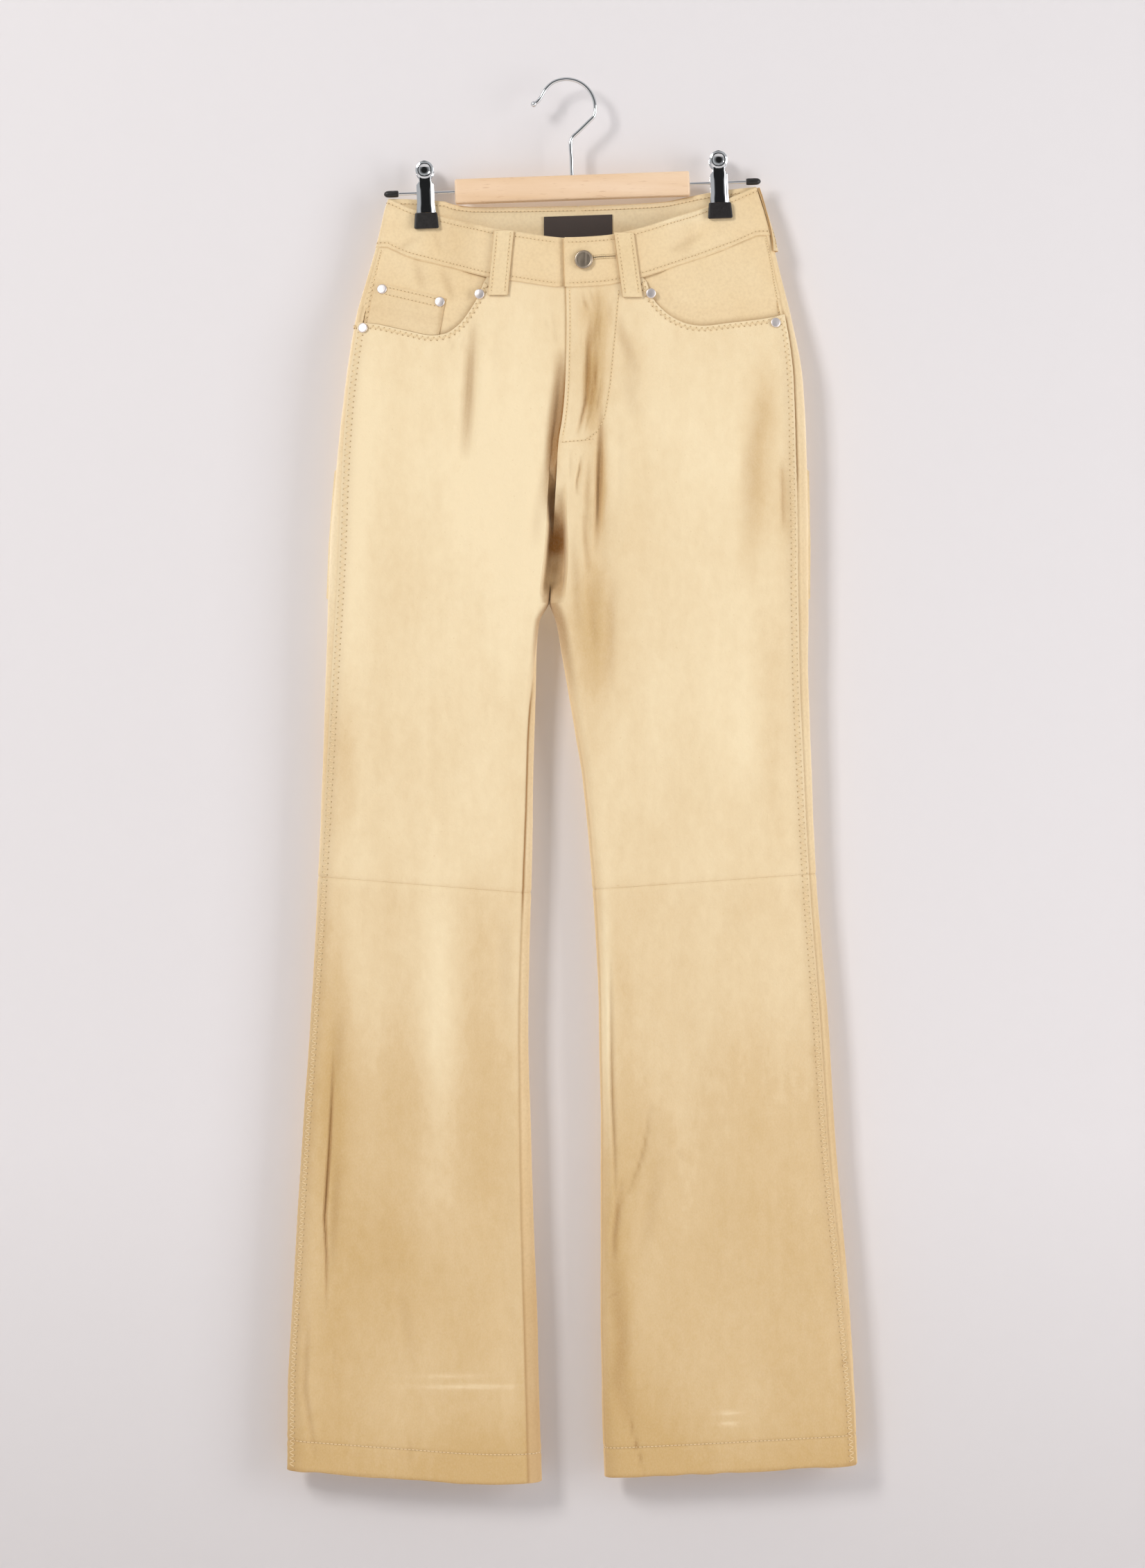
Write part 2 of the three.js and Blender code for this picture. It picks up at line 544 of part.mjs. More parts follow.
// Goes a distance along a section of the surface, away from the round it starts at.
function slide(side, round, z, distance) {
  const step = 0.02 * Math.sign(distance);
  let here = surface(side, round, z);
  let [gone, at] = [0, round];
  while (gone < Math.abs(distance)) {
    const next = surface(side, at + step, z);
    gone += next.distanceTo(here);
    [here, at] = [next, at + step];
  }
  return at;
}

for (const { name, side, face, topX, bottomX } of LOOPS) {
  const reach = face === "front" ? [0, 3] : [3, 6];
  const high = edgeZ[face](topX);
  const rows = spread([0, 1], [7]).map((down) => {
    const z = high - down * LOOP.length;
    const middle = roundAt(side, lerp(topX, bottomX, down), z, reach);
    return spread([-0.5, 0.5], [face === "front" ? 3 : 6]).map((part) => {
      const round = slide(side, middle, z, part * LOOP.width);
      const normal = normalAt(side, round, z);
      return { normal, point: surface(side, round, z) };
    });
  });
  const clear = face === "front" ? GAP : GAP + 0.15;
  const grid = moved(rows, BAND_PROUD + clear + LOOP.wall);
  add(name, wall(grid, LOOP.wall, side === "left"), material.edge());
}

// ---------------------------------------------------------------- label inside the waistband
function labelGrid() {
  const middle = centreX.back(LABEL.top);
  return spread([0, 1], [2]).map((down) =>
    spread([-0.5, 0.5], [7]).map((across) => {
      const x = middle + across * LABEL.width;
      const z = LABEL.top + across * LABEL.rise - down * LABEL.height;
      const side = x < centreX.back(z) ? "left" : "right";
      const round = roundAt(side, x, z, [3, 6]);
      return { point: surface(side, round, z), normal: normalAt(side, round, z) };
    }));
}
const labelLift = BAND_PROUD - BAND_WALL - GAP;
add("label", wall(moved(labelGrid(), labelLift), LABEL.wall, true), material.label());

// ---------------------------------------------------------------- button and rivets
const lathe = (profile, segments) =>
  new THREE.LatheGeometry(profile.map(([r, h]) => new THREE.Vector2(r, h)), segments);

// Stands a turned piece on the surface at x and z, lifted by level.
function stand(name, geometry, look, side, { x, z }, level) {
  const round = roundAt(side, x, z);
  const normal = normalAt(side, round, z);
  const mesh = add(name, geometry, look);
  mesh.position.copy(surface(side, round, z)).addScaledVector(normal, level + GAP);
  mesh.quaternion.setFromUnitVectors(new THREE.Vector3(0, 1, 0), normal);
}

const BUTTON_PROFILE = [[0, 0], [6.4, 0], [BUTTON.radius, 1.1], [BUTTON.radius, 2.2], [7.2, 3],
  [5.6, BUTTON.height], [0, BUTTON.height - 0.3]];
stand("button", lathe(BUTTON_PROFILE, 14), material.nickel(), "right", BUTTON, BAND_PROUD);

const RIVET_PROFILE = [[0, 0], [4, 0], [4, 0.5], [3, 1.4], [0, 1.8]];
const RIVETS = table(["name", "side", "x", "z", "on"],
  ["rivet_mouth_left", "left", -72.6, -183, "front"],
  ["rivet_side_left", "left", -171, -211, "front"],
  ["rivet_coin_inner", "left", -106, -189.5, "coin"],
  ["rivet_coin_outer", "left", -155, -178, "coin"],
  ["rivet_mouth_right", "right", 72, -182.5, "front"],
  ["rivet_side_right", "right", 177.5, -206.5, "front"]);
for (const rivet of RIVETS) {
  const level = rivet.on === "coin" ? facingLift("left")(rivet) + GAP + COIN.wall : 0;
  stand(rivet.name, lathe(RIVET_PROFILE, 14), material.silver(), rivet.side, rivet, level);
}

// ---------------------------------------------------------------- hanger
const wasm = await Module();
wasm.setup();

function solid(geometry) {
  const bare = geometry.clone();
  bare.deleteAttribute("normal");
  bare.deleteAttribute("uv");
  const merged = mergeVertices(bare, 1e-3);
  return new wasm.Manifold(new wasm.Mesh({
    numProp: 3, vertProperties: merged.attributes.position.array,
    triVerts: new Uint32Array(merged.index.array),
  }));
}

function meshed(body) {
  const { vertProperties, triVerts } = body.getMesh();
  const made = new THREE.BufferGeometry();
  made.setAttribute("position", new THREE.Float32BufferAttribute(vertProperties, 3));
  made.setIndex([...triVerts]);
  return made;
}

const hanger = new THREE.Group();
hanger.rotation.y = -HANGER_TILT;
pants.add(hanger);

// The hook: a chromed wire round most of a circle, with a ball on its free end.
function hookWire() {
  const centre = -HOOK_RADIUS + WIRE_RADIUS;
  const place = ([x, z]) => new THREE.Vector3(x, 0, z);
  const tail = [[-27.6, -18.6], [-24.6, -16.8], [-21.3, -12.8], [-17.2, -6.4]];
  const arc = spread([118, -18], [8]).map((degrees) => {
    const angle = THREE.MathUtils.degToRad(degrees);
    return [HOOK_RADIUS * Math.cos(angle), centre + HOOK_RADIUS * Math.sin(angle)];
  });
  const neck = [[17.4, -36], [10.4, -42.4], [4.2, -48], [STEM_X, -51.5],
    [STEM_X, -66], [STEM_X, BAR_Z + BAR.height / 2 + GAP]];
  const line = [...tail, ...arc, ...neck].map(place);
  const path = new THREE.CatmullRomCurve3(line, false, "centripetal");
  const round = new THREE.Shape().absarc(0, 0, WIRE_RADIUS, 0, 2 * Math.PI);
  const wire = new THREE.ExtrudeGeometry(round, { steps: 46, curveSegments: 4, extrudePath: path });
  const ball = new THREE.SphereGeometry(2.7, 10, 8).translate(tail[0][0], 0, tail[0][1]);
  return meshed(solid(wire).add(solid(ball)));
}
add("hook", hookWire(), material.chrome(), hanger);

// A flat piece cut to an outline in x and z, with its depth along y.
function plate(outline, depth, bevel) {
  const shape = new THREE.Shape(outline.map(([x, z]) => new THREE.Vector2(x, z)));
  const made = new THREE.ExtrudeGeometry(shape, {
    depth: depth - 2 * bevel, bevelThickness: bevel, bevelSize: bevel, bevelOffset: -bevel,
    bevelSegments: 1,
  });
  return made.translate(0, 0, bevel - depth / 2).rotateX(Math.PI / 2);
}

function barOutline() {
  const [w, h, r] = [BAR.length / 2, BAR.height / 2, BAR.corner];
  return [[-w + r, -h], [w - r, -h], [w, -h + r], [w, h - r], [w - r, h], [-w + r, h], [-w, h - r],
    [-w, -h + r]];
}
const bar = add("bar", plate(barOutline(), BAR.depth, BAR.edge), material.wood(), hanger);
bar.position.set(STEM_X, 0, BAR_Z);

const CAP_PROFILE = [[0, 0], [2.4, 0], [2.9, 0.8], [2.9, 8.8], [2.2, 11.4], [0, CAP_LENGTH]];
for (const [side, sign] of Object.entries(SIDES)) {
  const start = BAR.length / 2 + GAP;
  const reach = ROD_REACH - CAP_LENGTH - GAP - start;
  const wire = new THREE.CylinderGeometry(ROD_RADIUS, ROD_RADIUS, reach, 10);
  const rod = add(`rod_${side}`, wire, material.chrome(), hanger);
  rod.rotation.z = Math.PI / 2;
  rod.position.set(STEM_X + sign * (start + reach / 2), 0, BAR_Z);
  const cap = add(`end_cap_${side}`, lathe(CAP_PROFILE, 12), material.rubber(), hanger);
  cap.rotation.z = (-sign * Math.PI) / 2;
  cap.position.set(STEM_X + sign * (ROD_REACH - CAP_LENGTH), 0, BAR_Z);
}

// A clip: two sprung chrome plates with round finger pads, a sleeve on the rod between them,
// and rubber jaws that hold the waistband flat. Outlines are drawn from the jaws' top edge.
function clipOutline() {
  const half = CLIP.halfWidth;
  const middle = CLIP.top - PAD.radius - JAW.top;
  const shoulder = CLIP.shoulder - JAW.top;
  const bend = Math.asin(PAD.neck / PAD.radius);
  const pad = spread([bend - Math.PI / 2, 1.5 * Math.PI - bend], [14]).map((angle) =>
    [PAD.radius * Math.cos(angle), middle + PAD.radius * Math.sin(angle)]);
  return [[-half - 0.8, GAP], [half + 0.8, GAP], [half, 9], [half, shoulder],
    [PAD.neck, shoulder + 3], ...pad, [-PAD.neck, shoulder + 3], [-half, shoulder], [-half, 9]];
}

function jawOutline() {
  const { foot, head, corner } = JAW;
  const low = JAW.bottom - JAW.top;
  return [[-foot + corner, low], [foot - corner, low], [foot, low + corner], [head, 0], [-head, 0],
    [-foot, low + corner]];
}

for (const side of ["left", "right"]) {
  for (const [face, sign] of [["front", -1], ["back", 1]]) {
    const away = sign * (JAW_FACE + JAW.depth / 2);
    const grip = plate(jawOutline(), JAW.depth, 0.6);
    const jaw = add(`clip_jaw_${face}_${side}`, grip, material.rubber(), hanger);
    jaw.position.set(CLIP_X[side], away, JAW.top);
    const body = plate(clipOutline(), CLIP.wall, 0.35);
    const lever = add(`clip_plate_${face}_${side}`, body, material.chrome(), hanger);
    lever.position.set(CLIP_X[side], away, JAW.top);
    lever.rotation.x = -sign * THREE.MathUtils.degToRad(CLIP.lean);
  }
  const [bore, wide, half] = [ROD_RADIUS + SLEEVE.clearance, SLEEVE.radius, SLEEVE.length / 2];
  const ring = [[bore, -half], [wide, -half], [wide, half], [bore, half], [bore, -half]];
  const sleeve = add(`clip_sleeve_${side}`, lathe(ring, 12), material.chrome(), hanger);
  sleeve.rotation.z = Math.PI / 2;
  sleeve.position.set(CLIP_X[side], 0, BAR_Z);
}

export default pants;
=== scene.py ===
"""Flare pants in soft tan leather, clipped by the waistband to a wooden clip hanger.

The garment is one surface round both legs, worked out from its widths and depths at each height.
Each leather piece is a thin shell on its own stretch of that surface, with its creases, pressed
seams and sewing. Lengths in the tables and formulas are millimetres, and a mesh is scaled to metres
when it is made. +Z is up, the front faces -Y, "left" is the -X side.
"""
import math

import bpy
import numpy as np
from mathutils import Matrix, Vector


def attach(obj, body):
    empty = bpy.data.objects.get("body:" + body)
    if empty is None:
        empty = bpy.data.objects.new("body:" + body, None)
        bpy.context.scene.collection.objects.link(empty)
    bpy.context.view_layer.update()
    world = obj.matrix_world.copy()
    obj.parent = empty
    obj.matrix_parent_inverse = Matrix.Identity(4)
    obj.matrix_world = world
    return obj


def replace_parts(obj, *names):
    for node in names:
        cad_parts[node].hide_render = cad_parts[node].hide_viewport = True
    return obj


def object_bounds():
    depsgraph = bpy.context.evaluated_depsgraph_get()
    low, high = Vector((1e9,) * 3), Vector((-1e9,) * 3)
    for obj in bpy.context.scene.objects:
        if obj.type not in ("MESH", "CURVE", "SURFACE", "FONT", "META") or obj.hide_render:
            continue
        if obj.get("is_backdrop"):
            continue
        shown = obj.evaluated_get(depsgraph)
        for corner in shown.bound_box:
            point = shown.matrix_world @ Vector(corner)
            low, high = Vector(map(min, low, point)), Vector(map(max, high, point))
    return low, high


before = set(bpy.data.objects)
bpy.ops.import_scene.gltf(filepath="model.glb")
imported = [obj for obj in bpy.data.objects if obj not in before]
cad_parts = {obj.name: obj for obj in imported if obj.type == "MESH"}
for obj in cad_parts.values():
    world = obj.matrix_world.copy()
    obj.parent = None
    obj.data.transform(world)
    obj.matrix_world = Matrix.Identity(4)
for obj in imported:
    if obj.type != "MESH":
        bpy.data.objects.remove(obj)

CAD_BOX = [list(corner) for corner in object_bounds()]
MM = 0.001


def placed(name, data):
    """An object of the scene, made from its data."""
    made = bpy.data.objects.new(name, data)
    bpy.context.scene.collection.objects.link(made)
    return made


# ---------------------------------------------------------------- camera
VIEW_DISTANCE = 3.5
VIEW_CENTRE = (0.0059, -0.5965)   # x and z that the frame is centred on
VIEW_HEIGHT = 1.3306              # height of the frame at the garment
SENSOR = 36.0

camera = placed("camera", bpy.data.cameras.new("camera"))
camera.location = (VIEW_CENTRE[0], -VIEW_DISTANCE, VIEW_CENTRE[1])
camera.rotation_euler = (math.pi / 2, 0, 0)
camera.data.sensor_width = SENSOR
camera.data.lens = SENSOR * VIEW_DISTANCE / VIEW_HEIGHT
bpy.context.scene.camera = camera

# ---------------------------------------------------------------- driving dimensions
LEATHER = 1.25       # one layer
BAND_HEIGHT = 40.5
BAND_WALL = 2.2      # the waistband is double
BAND_PROUD = 0.6     # how far it stands out from the panels
HEM_HEIGHT = 25
HEM_WALL = 2.2
HIP_Z = -234
CROTCH_Z = -444
PINCH_DEPTH = 2.1    # half of the flattened waist between a clip's jaws
FOLD_DEPTH = 4.6     # half of it at the side folds
FLY_WIDTH = 38
FLY_LIFT = 1.1
FLY_SEWN = 2.9       # from the fly's edge to the row sewn along it
FLY_END_Z = -308
SEAT_START = -345    # where the back begins to part into two legs
HOLLOW = {"left": (318, 350), "right": (334, 392)}   # how far down the fronts turn in
HOLLOW_WALL, HOLLOW_SUNK = 4.0, 3.0
OUTSEAM_LAP = 2.2    # the front's edge is lapped over the back strip and sewn down
PUCKER_GAP = 7.5     # from one pucker to the next along the sewn outseam
LOOP_WIDTH, LOOP_LENGTH, LOOP_WALL = 16.5, 54, 1.9
SIGN = {"left": -1.0, "right": 1.0}
SIDES = ("left", "right")


def table(columns, *rows):
    """A table's named columns as arrays, with its rows sorted by the first column."""
    return dict(zip(columns.split(), np.array(sorted(rows), float).T))


OUTER = {   # the outer folds, and how far inside them the outseam runs on the front
    "left": table("z x seam", (-88, -147.5, 4), (-100, -150.5, 4), (-134, -158.8, 4),
                  (-169, -168.8, 4), (-205, -178.8, 4), (-255, -186.4, 4), (-313, -192.9, 5.5),
                  (-402, -200.3, 9), (-490, -202.9, 6.4), (-577, -205.8, 4.4), (-666, -209.3, 2.7),
                  (-784, -215.8, 1.5), (-901, -223.4, 1.2), (-1019, -230.5, 1),
                  (-1108, -235.2, 0.8), (-1190, -236, 0.8)),
    "right": table("z x seam", (-88, 161, 4), (-100, 164.8, 4.5), (-134, 174.8, 5),
                   (-169, 183.5, 6), (-205, 192.3, 6.5), (-255, 201.1, 9), (-313, 204.6, 10.5),
                   (-402, 206.4, 10.5), (-490, 205.8, 8.5), (-577, 208.4, 7.8), (-666, 212.3, 7),
                   (-784, 221.7, 7.6), (-901, 229.3, 7.2), (-1019, 239.3, 5.9),
                   (-1108, 244.6, 3), (-1190, 248.6, 1.6))}
INNER = {   # the inner folds below the crotch, and how far inside them the inseam runs
    "left": table("z x seam", (-444, -14.1, 0), (-460, -22.4, 0), (-490, -24.8, 1),
                  (-549, -26.5, 4.7), (-607, -27.6, 5.3), (-666, -28.6, 6.5), (-784, -31.4, 7.6),
                  (-901, -29.4, 9), (-1019, -25.3, 11), (-1108, -22.2, 11.5), (-1190, -20, 11.5)),
    "right": table("z x seam", (-444, -14.1, 0), (-460, -8.2, 0), (-490, -2.9, 0.5),
                   (-549, 7.4, 1.6), (-607, 15.7, 1.7), (-666, 21.4, 1.8), (-725, 25.3, 1.7),
                   (-784, 28.2, 1.5), (-901, 29.6, 1.3), (-1019, 29.6, 1.2), (-1108, 30.4, 1.3),
                   (-1190, 32.4, 1.4))}
# The centre seams above the crotch: the fly's edge in front, the seat seam behind.
CENTRE = table("z front back", (-88, -0.6, 11.2), (-137, -0.6, 10), (-175, 0.3, 8),
               (-205, 0.9, 6), (-237, 0.4, 4), (-262, -0.5, 2.5), (-286, -2.6, 1),
               (-308, -6, 0), (-337, -7.8, -2), (-396, -11.2, -8), (-444, -14.1, -14.1))
# How far each face stands from the middle plane, and how wide the outer folds round away.
DEPTH = table("z front back outer_round", (-88, 23, 8, 5), (-140, 23, 8.5, 5.5),
              (-200, 21, 10, 10), (-260, 19, 11, 14), (-340, 18, 11, 16), (-444, 16.5, 10.5, 16),
              (-550, 14, 10, 16), (-670, 12.5, 10, 16), (-900, 13, 10, 16), (-1190, 15, 11, 18))
# How wide the inner folds round away, or the hollow's walls are above the crotch.
INNER_ROUND = {
    "left": table("z wide", (-88, 9), (-310, 9), (-337, 6), (-362, 6.2), (-401, 6.8),
                  (-433, 8.4), (-460, 6), (-550, 11), (-670, 13), (-900, 15), (-1190, 16)),
    "right": table("z wide", (-88, 9), (-310, 9), (-350, 9.8), (-413, 14.4), (-444, 13),
                   (-460, 10), (-550, 11), (-670, 13), (-900, 15), (-1190, 16))}
FRONT_EDGE = table("x z", (-151, -100.5), (-130, -109.6), (-108, -115.4), (-61, -128.4),
                   (-42, -131.4), (0, -136.6), (28, -135.4), (55, -130.4), (119, -108.2),
                   (141, -99.6), (162, -90.6))
BACK_EDGE = table("x z", (-151, -100.5), (-125, -101.4), (-104, -102.8), (-95, -105.6),
                  (-78, -107.2), (10.6, -105.8), (80, -103), (106, -98.8), (122, -95.6),
                  (138, -93), (162, -90.4))
POCKET = {  # the pockets' mouths, from the waistband to the outseam
    "left": table("x z", (-190, -206), (-177, -206.4), (-162.3, -207.6), (-136, -213.4),
                  (-112, -218), (-102.3, -216.8), (-90.6, -209.6), (-78.2, -193),
                  (-71.7, -181), (-67.6, -168.8)),
    "right": table("x z", (67, -167), (70, -180.5), (80, -194.5), (91.7, -203.6), (104, -208.6),
                   (115, -209.9), (140, -207), (173.5, -202.3), (200, -195))}
POCKET_CORNER = {"left": -67.6, "right": 67}        # x where a mouth leaves the waistband
POCKET_COLUMN = {"left": 0.375, "right": 0.33}      # and the turn past 1 that reaches it
KNEE = {"left": table("x z", (-240, -672.5), (-36, -688.5)),
        "right": table("x z", (20, -686), (240, -670.5))}
HEM = {"left": table("x z", (-240, -1176.4), (-152, -1182.5), (-51, -1188.6), (-15, -1187.6)),
       "right": table("x z", (25, -1184), (255, -1172))}
PINCH_X = (-118, 131)     # where the clips' jaws meet the waistband

# Creases, each a trough from one end to the other, or a ridge where its depth is negative: side,
# face, the x and z of both ends, width, depth.
CREASES = [
    ("left", "front", -78, -212, -87, -335, 8, 2.0),
    ("left", "front", -96, -225, -104, -420, 14, -1.2),
    ("left", "front", -30, -300, -40, -440, 12, -1.5),
    ("left", "front", -198, -770, -205, -1025, 6, 2.6),
    ("left", "front", -110, -700, -120, -980, 24, -1.8),
    ("left", "front", -60, -880, -48, -1130, 16, 1.8),
    ("right", "front", 21, -190, 12, -300, 6, 2.2),
    ("right", "front", 31, -215, 24, -312, 5, 1.8),
    ("right", "front", 29, -295, 30, -420, 6, 3.2),
    ("right", "front", 17, -370, 26, -455, 6, 2.4),
    ("right", "front", 46, -250, 52, -480, 11, -1.8),
    ("right", "front", 181, -330, 183, -392, 7, 2.4),
    ("right", "front", 74, -868, 44, -960, 9, 1.8),
    ("right", "front", 130, -720, 150, -1010, 24, -1.6),
    ("left", "back", -60, -250, -95, -400, 12, 2),
    ("left", "back", -170, -420, -188, -560, 10, 1.8),
    ("left", "back", -120, -640, -150, -760, 12, 1.6),
    ("right", "back", 60, -260, 92, -410, 12, 2),
    ("right", "back", 176, -430, 190, -570, 10, 1.8),
    ("right", "back", 110, -650, 150, -770, 12, 1.6)]
# Finer ones that lie on the larger form: width, depth, then the x and z of points along each.
FINE_CREASES = {
    ("right", "front"): [
        # the fly between its edge and its curved row of stitches
        (1.9, 2.3, 22.4, -196, 20.6, -206, 18.8, -222, 18.2, -240, 17.4, -258, 16, -275, 12, -294,
         8.5, -304),
        (2.6, 1.4, 28, -186, 26.5, -204, 22.5, -220, 19.5, -234),
        (1.3, 1.0, 19.4, -260, 16.5, -276, 12.8, -291, 9.8, -301),
        (1.6, 0.8, 22.6, -262, 19.6, -280, 15, -297),
        (3.0, 1.5, 27, -208, 24.4, -236, 23.4, -256, 23.6, -276, 21, -290),
        (3.2, 0.8, 4, -238, 11, -230, 17, -219),
        (1.5, 0.6, 13, -180, 16.5, -192, 20.5, -202),
        (1.5, 0.8, 20, -178, 22.5, -187, 24.5, -197),
        (1.7, 0.7, 26, -179, 27.5, -194),
        (4.4, -1.3, 9, -200, 11.5, -222, 12.5, -248, 10.5, -274, 6, -294),
        (1.5, -0.8, 23, -224, 22.6, -245, 22.2, -264),
        (1.0, 0.7, 14, -186, 19, -198), (1.0, 0.7, 31, -196, 28, -214, 28.6, -230),
        (1.0, 0.8, 27, -238, 25.6, -254, 26.4, -270), (1.1, 0.8, 30, -250, 28.4, -268, 25, -288),
        (1.0, 0.7, 21.6, -280, 18, -292, 15.6, -302), (1.1, 0.6, 13, -214, 14.6, -230, 13.4, -246),
        # beside it
        (2.4, 2.8, 29.4, -276, 29.8, -300, 29.2, -322, 28.4, -345, 27.4, -370, 25.6, -404),
        (4.2, -1.1, 36.5, -272, 37.2, -318, 36, -372),
        (4.6, 1.2, 43, -198, 46.5, -214, 51, -232, 54, -248),
        (5.0, 0.6, 52, -212, 57, -236, 63, -266),
        (2.6, 0.6, 39, -186, 37, -198, 38, -214),
        # below it
        (1.4, 1.6, 13.4, -318, 12, -331, 9.6, -342, 9.4, -354),
        (2.0, -0.9, 16.4, -316, 15.2, -335, 13.4, -352),
        (2.0, 1.5, 15, -364, 16.4, -386, 18.2, -404, 20.2, -424),
        (2.6, 1.2, 20, -322, 18.4, -346, 17.6, -380),
        (2.2, -0.7, 22.6, -342, 22.4, -368, 23, -394),
        (1.2, 0.6, 4.4, -314, 3.6, -328, 4.2, -342),
        (3.6, 0.9, 6, -380, 7, -405, 8.6, -430, 11, -470),
        (3.6, 0.9, 20, -420, 22.4, -450, 26, -492),
        (5.0, 0.7, 40, -420, 36, -520), (7.0, 0.7, 48, -240, 60, -290),
        # by the outseam, and on the lower leg
        (1.5, 1.9, 182.6, -322, 184.2, -350, 184.6, -386),
        (7.0, 0.6, 168, -262, 157, -314, 154, -394),
        (3.0, -0.5, 176, -300, 178, -350),
        (1.7, 1.8, 37.6, -742, 38.6, -801, 39.4, -860, 41.4, -905, 42.2, -945, 43, -966),
        (2.6, 2.0, 49, -928, 46, -946, 43.6, -962, 41, -982, 41, -1004),
        (1.8, 1.3, 72.3, -866, 69.6, -886, 66, -905, 60, -925, 54, -940, 47, -954),
        (7.0, 1.3, 41, -985, 44, -1034, 48, -1070, 44, -1100, 52, -1130, 58, -1152),
        (1.5, 1.5, 53, -1126, 58, -1149, 62, -1164, 67, -1183), (1.2, 0.8, 35, -1032, 46, -1026),
        (6.0, 0.6, 80, -905, 66, -1000), (2.6, 0.8, 240, -1080, 232, -1092),
        (1.4, 0.7, 120, -1150, 124, -1172), (1.6, 0.6, 92, -905, 101, -915)],
    ("left", "front"): [
        (5.6, 5.6, -4, -228, -4.6, -266, -6.6, -300, -8.8, -330, -11, -350, -13, -376),
        (7.0, 1.8, -11, -256, -14, -310, -18, -366),
        (4.0, 1.0, -127.5, -150, -124, -165, -120, -180),
        (3.4, 1.1, -106, -158, -101, -172, -94, -190),
        (4.6, 2.6, -77.5, -203, -79, -222, -80.5, -245, -82, -272, -85.5, -324),
        (2.0, 0.6, -101, -215, -96, -226, -93, -234), (2.0, 0.7, -92, -211, -87, -222, -85, -234),
        (5.0, -0.8, -69, -206, -70, -236, -72, -270), (5.0, 0.9, -20, -320, -26, -400),
        (2.2, 0.5, -12, -196, -9, -214, -8, -228), (1.8, 0.4, -18, -202, -14, -216),
        (1.3, 2.6, -197, -822, -197.8, -860, -199.4, -898, -202, -937, -203.8, -963, -202.4, -1001,
         -202.6, -1044),
        (2.6, 1.3, -217, -1040, -219.5, -1080, -220.5, -1110, -214, -1150, -211, -1172),
        (1.6, 0.7, -132, -1148, -131, -1172), (2.2, 0.5, -196, -1070, -193, -1120),
        (4.0, 1.0, -192, -905, -199, -1010), (5.0, 0.6, -188, -780, -196, -860),
        (6.0, 0.6, -52, -700, -50, -800), (5.0, 0.5, -140, -1020, -128, -1090)],
    ("left", "back"): [(4.0, 0.8, -50, -240, -66, -300), (3.5, 0.9, -176, -430, -186, -520)],
    ("right", "back"): [(4.0, 0.8, 46, -250, 66, -310), (3.5, 0.9, 182, -440, 190, -530)]}
BAND_CREASES = [
    (3.4, 1.0, 86, -147, 96, -143, 108, -135, 117, -129), (2.6, 0.6, 98, -148, 108, -142),
    (3.6, 0.8, -90, -112, -84, -120, -76, -126), (3.2, 0.8, -124, -132, -134, -138, -146, -146),
    (2.4, 0.6, -112, -128, -108, -138, -106, -148), (3.2, 0.5, -58, -128, -50, -140)]


# ---------------------------------------------------------------- curves and noise
def lerp(a, b, t):
    return a + (b - a) * t


def ease(t):
    """From 0 to 1 with flat ends: 3t^2 - 2t^3."""
    return t * t * (3 - 2 * t)


def ramp(x, low, high):
    """0 up to low, 1 from high, eased between."""
    return ease(np.clip((x - low) / (high - low), 0, 1))


def bell(distance, width):
    return np.exp(-(distance / width) ** 2)


def unit(vectors):
    return vectors / np.linalg.norm(vectors, axis=-1, keepdims=True)


def run_along(points):
    """How far along a line of points each one lies."""
    return np.r_[0, np.cumsum(np.linalg.norm(np.diff(points, axis=0), axis=1))]


def curve(rows, column):
    """A smooth curve through a table's column. Between rows it is a cubic whose slope at a row is
    the harmonic mean of the rises on its two sides, or 0 where they differ in sign."""
    at_rows, values = next(iter(rows.values())), rows[column]
    rise = np.diff(values) / np.diff(at_rows)
    before, after = np.r_[rise[:1], rise], np.r_[rise, rise[-1:]]
    same = before * after > 0
    slope = np.where(same, 2 * before * after / np.where(same, before + after, 1), 0)

    def at(position):
        a = np.clip(position, at_rows[0], at_rows[-1])
        i = np.clip(np.searchsorted(at_rows, a) - 1, 0, len(at_rows) - 2)
        span = at_rows[i + 1] - at_rows[i]
        f = (a - at_rows[i]) / span
        pull = span * f * (1 - f) * ((1 - f) * slope[i] - f * slope[i + 1])
        return lerp(values[i], values[i + 1], ease(f)) + pull
    return at


def ripple(x, z, size, seed):
    """A smooth random height from -1 to 1: seeded values on a square lattice of the given size,
    blended with eased weights between the lattice's corners."""
    lattice = np.random.default_rng(seed).uniform(-1, 1, (64, 64))
    u, w = np.asarray(x) / size, np.asarray(z) / size
    i, j = np.floor(u).astype(int), np.floor(w).astype(int)
    f, g = ease(u - i), ease(w - j)
    corner = lambda a, b: lattice[(i + a) % 64, (j + b) % 64]
    return lerp(lerp(corner(0, 0), corner(1, 0), f), lerp(corner(0, 1), corner(1, 1), f), g)


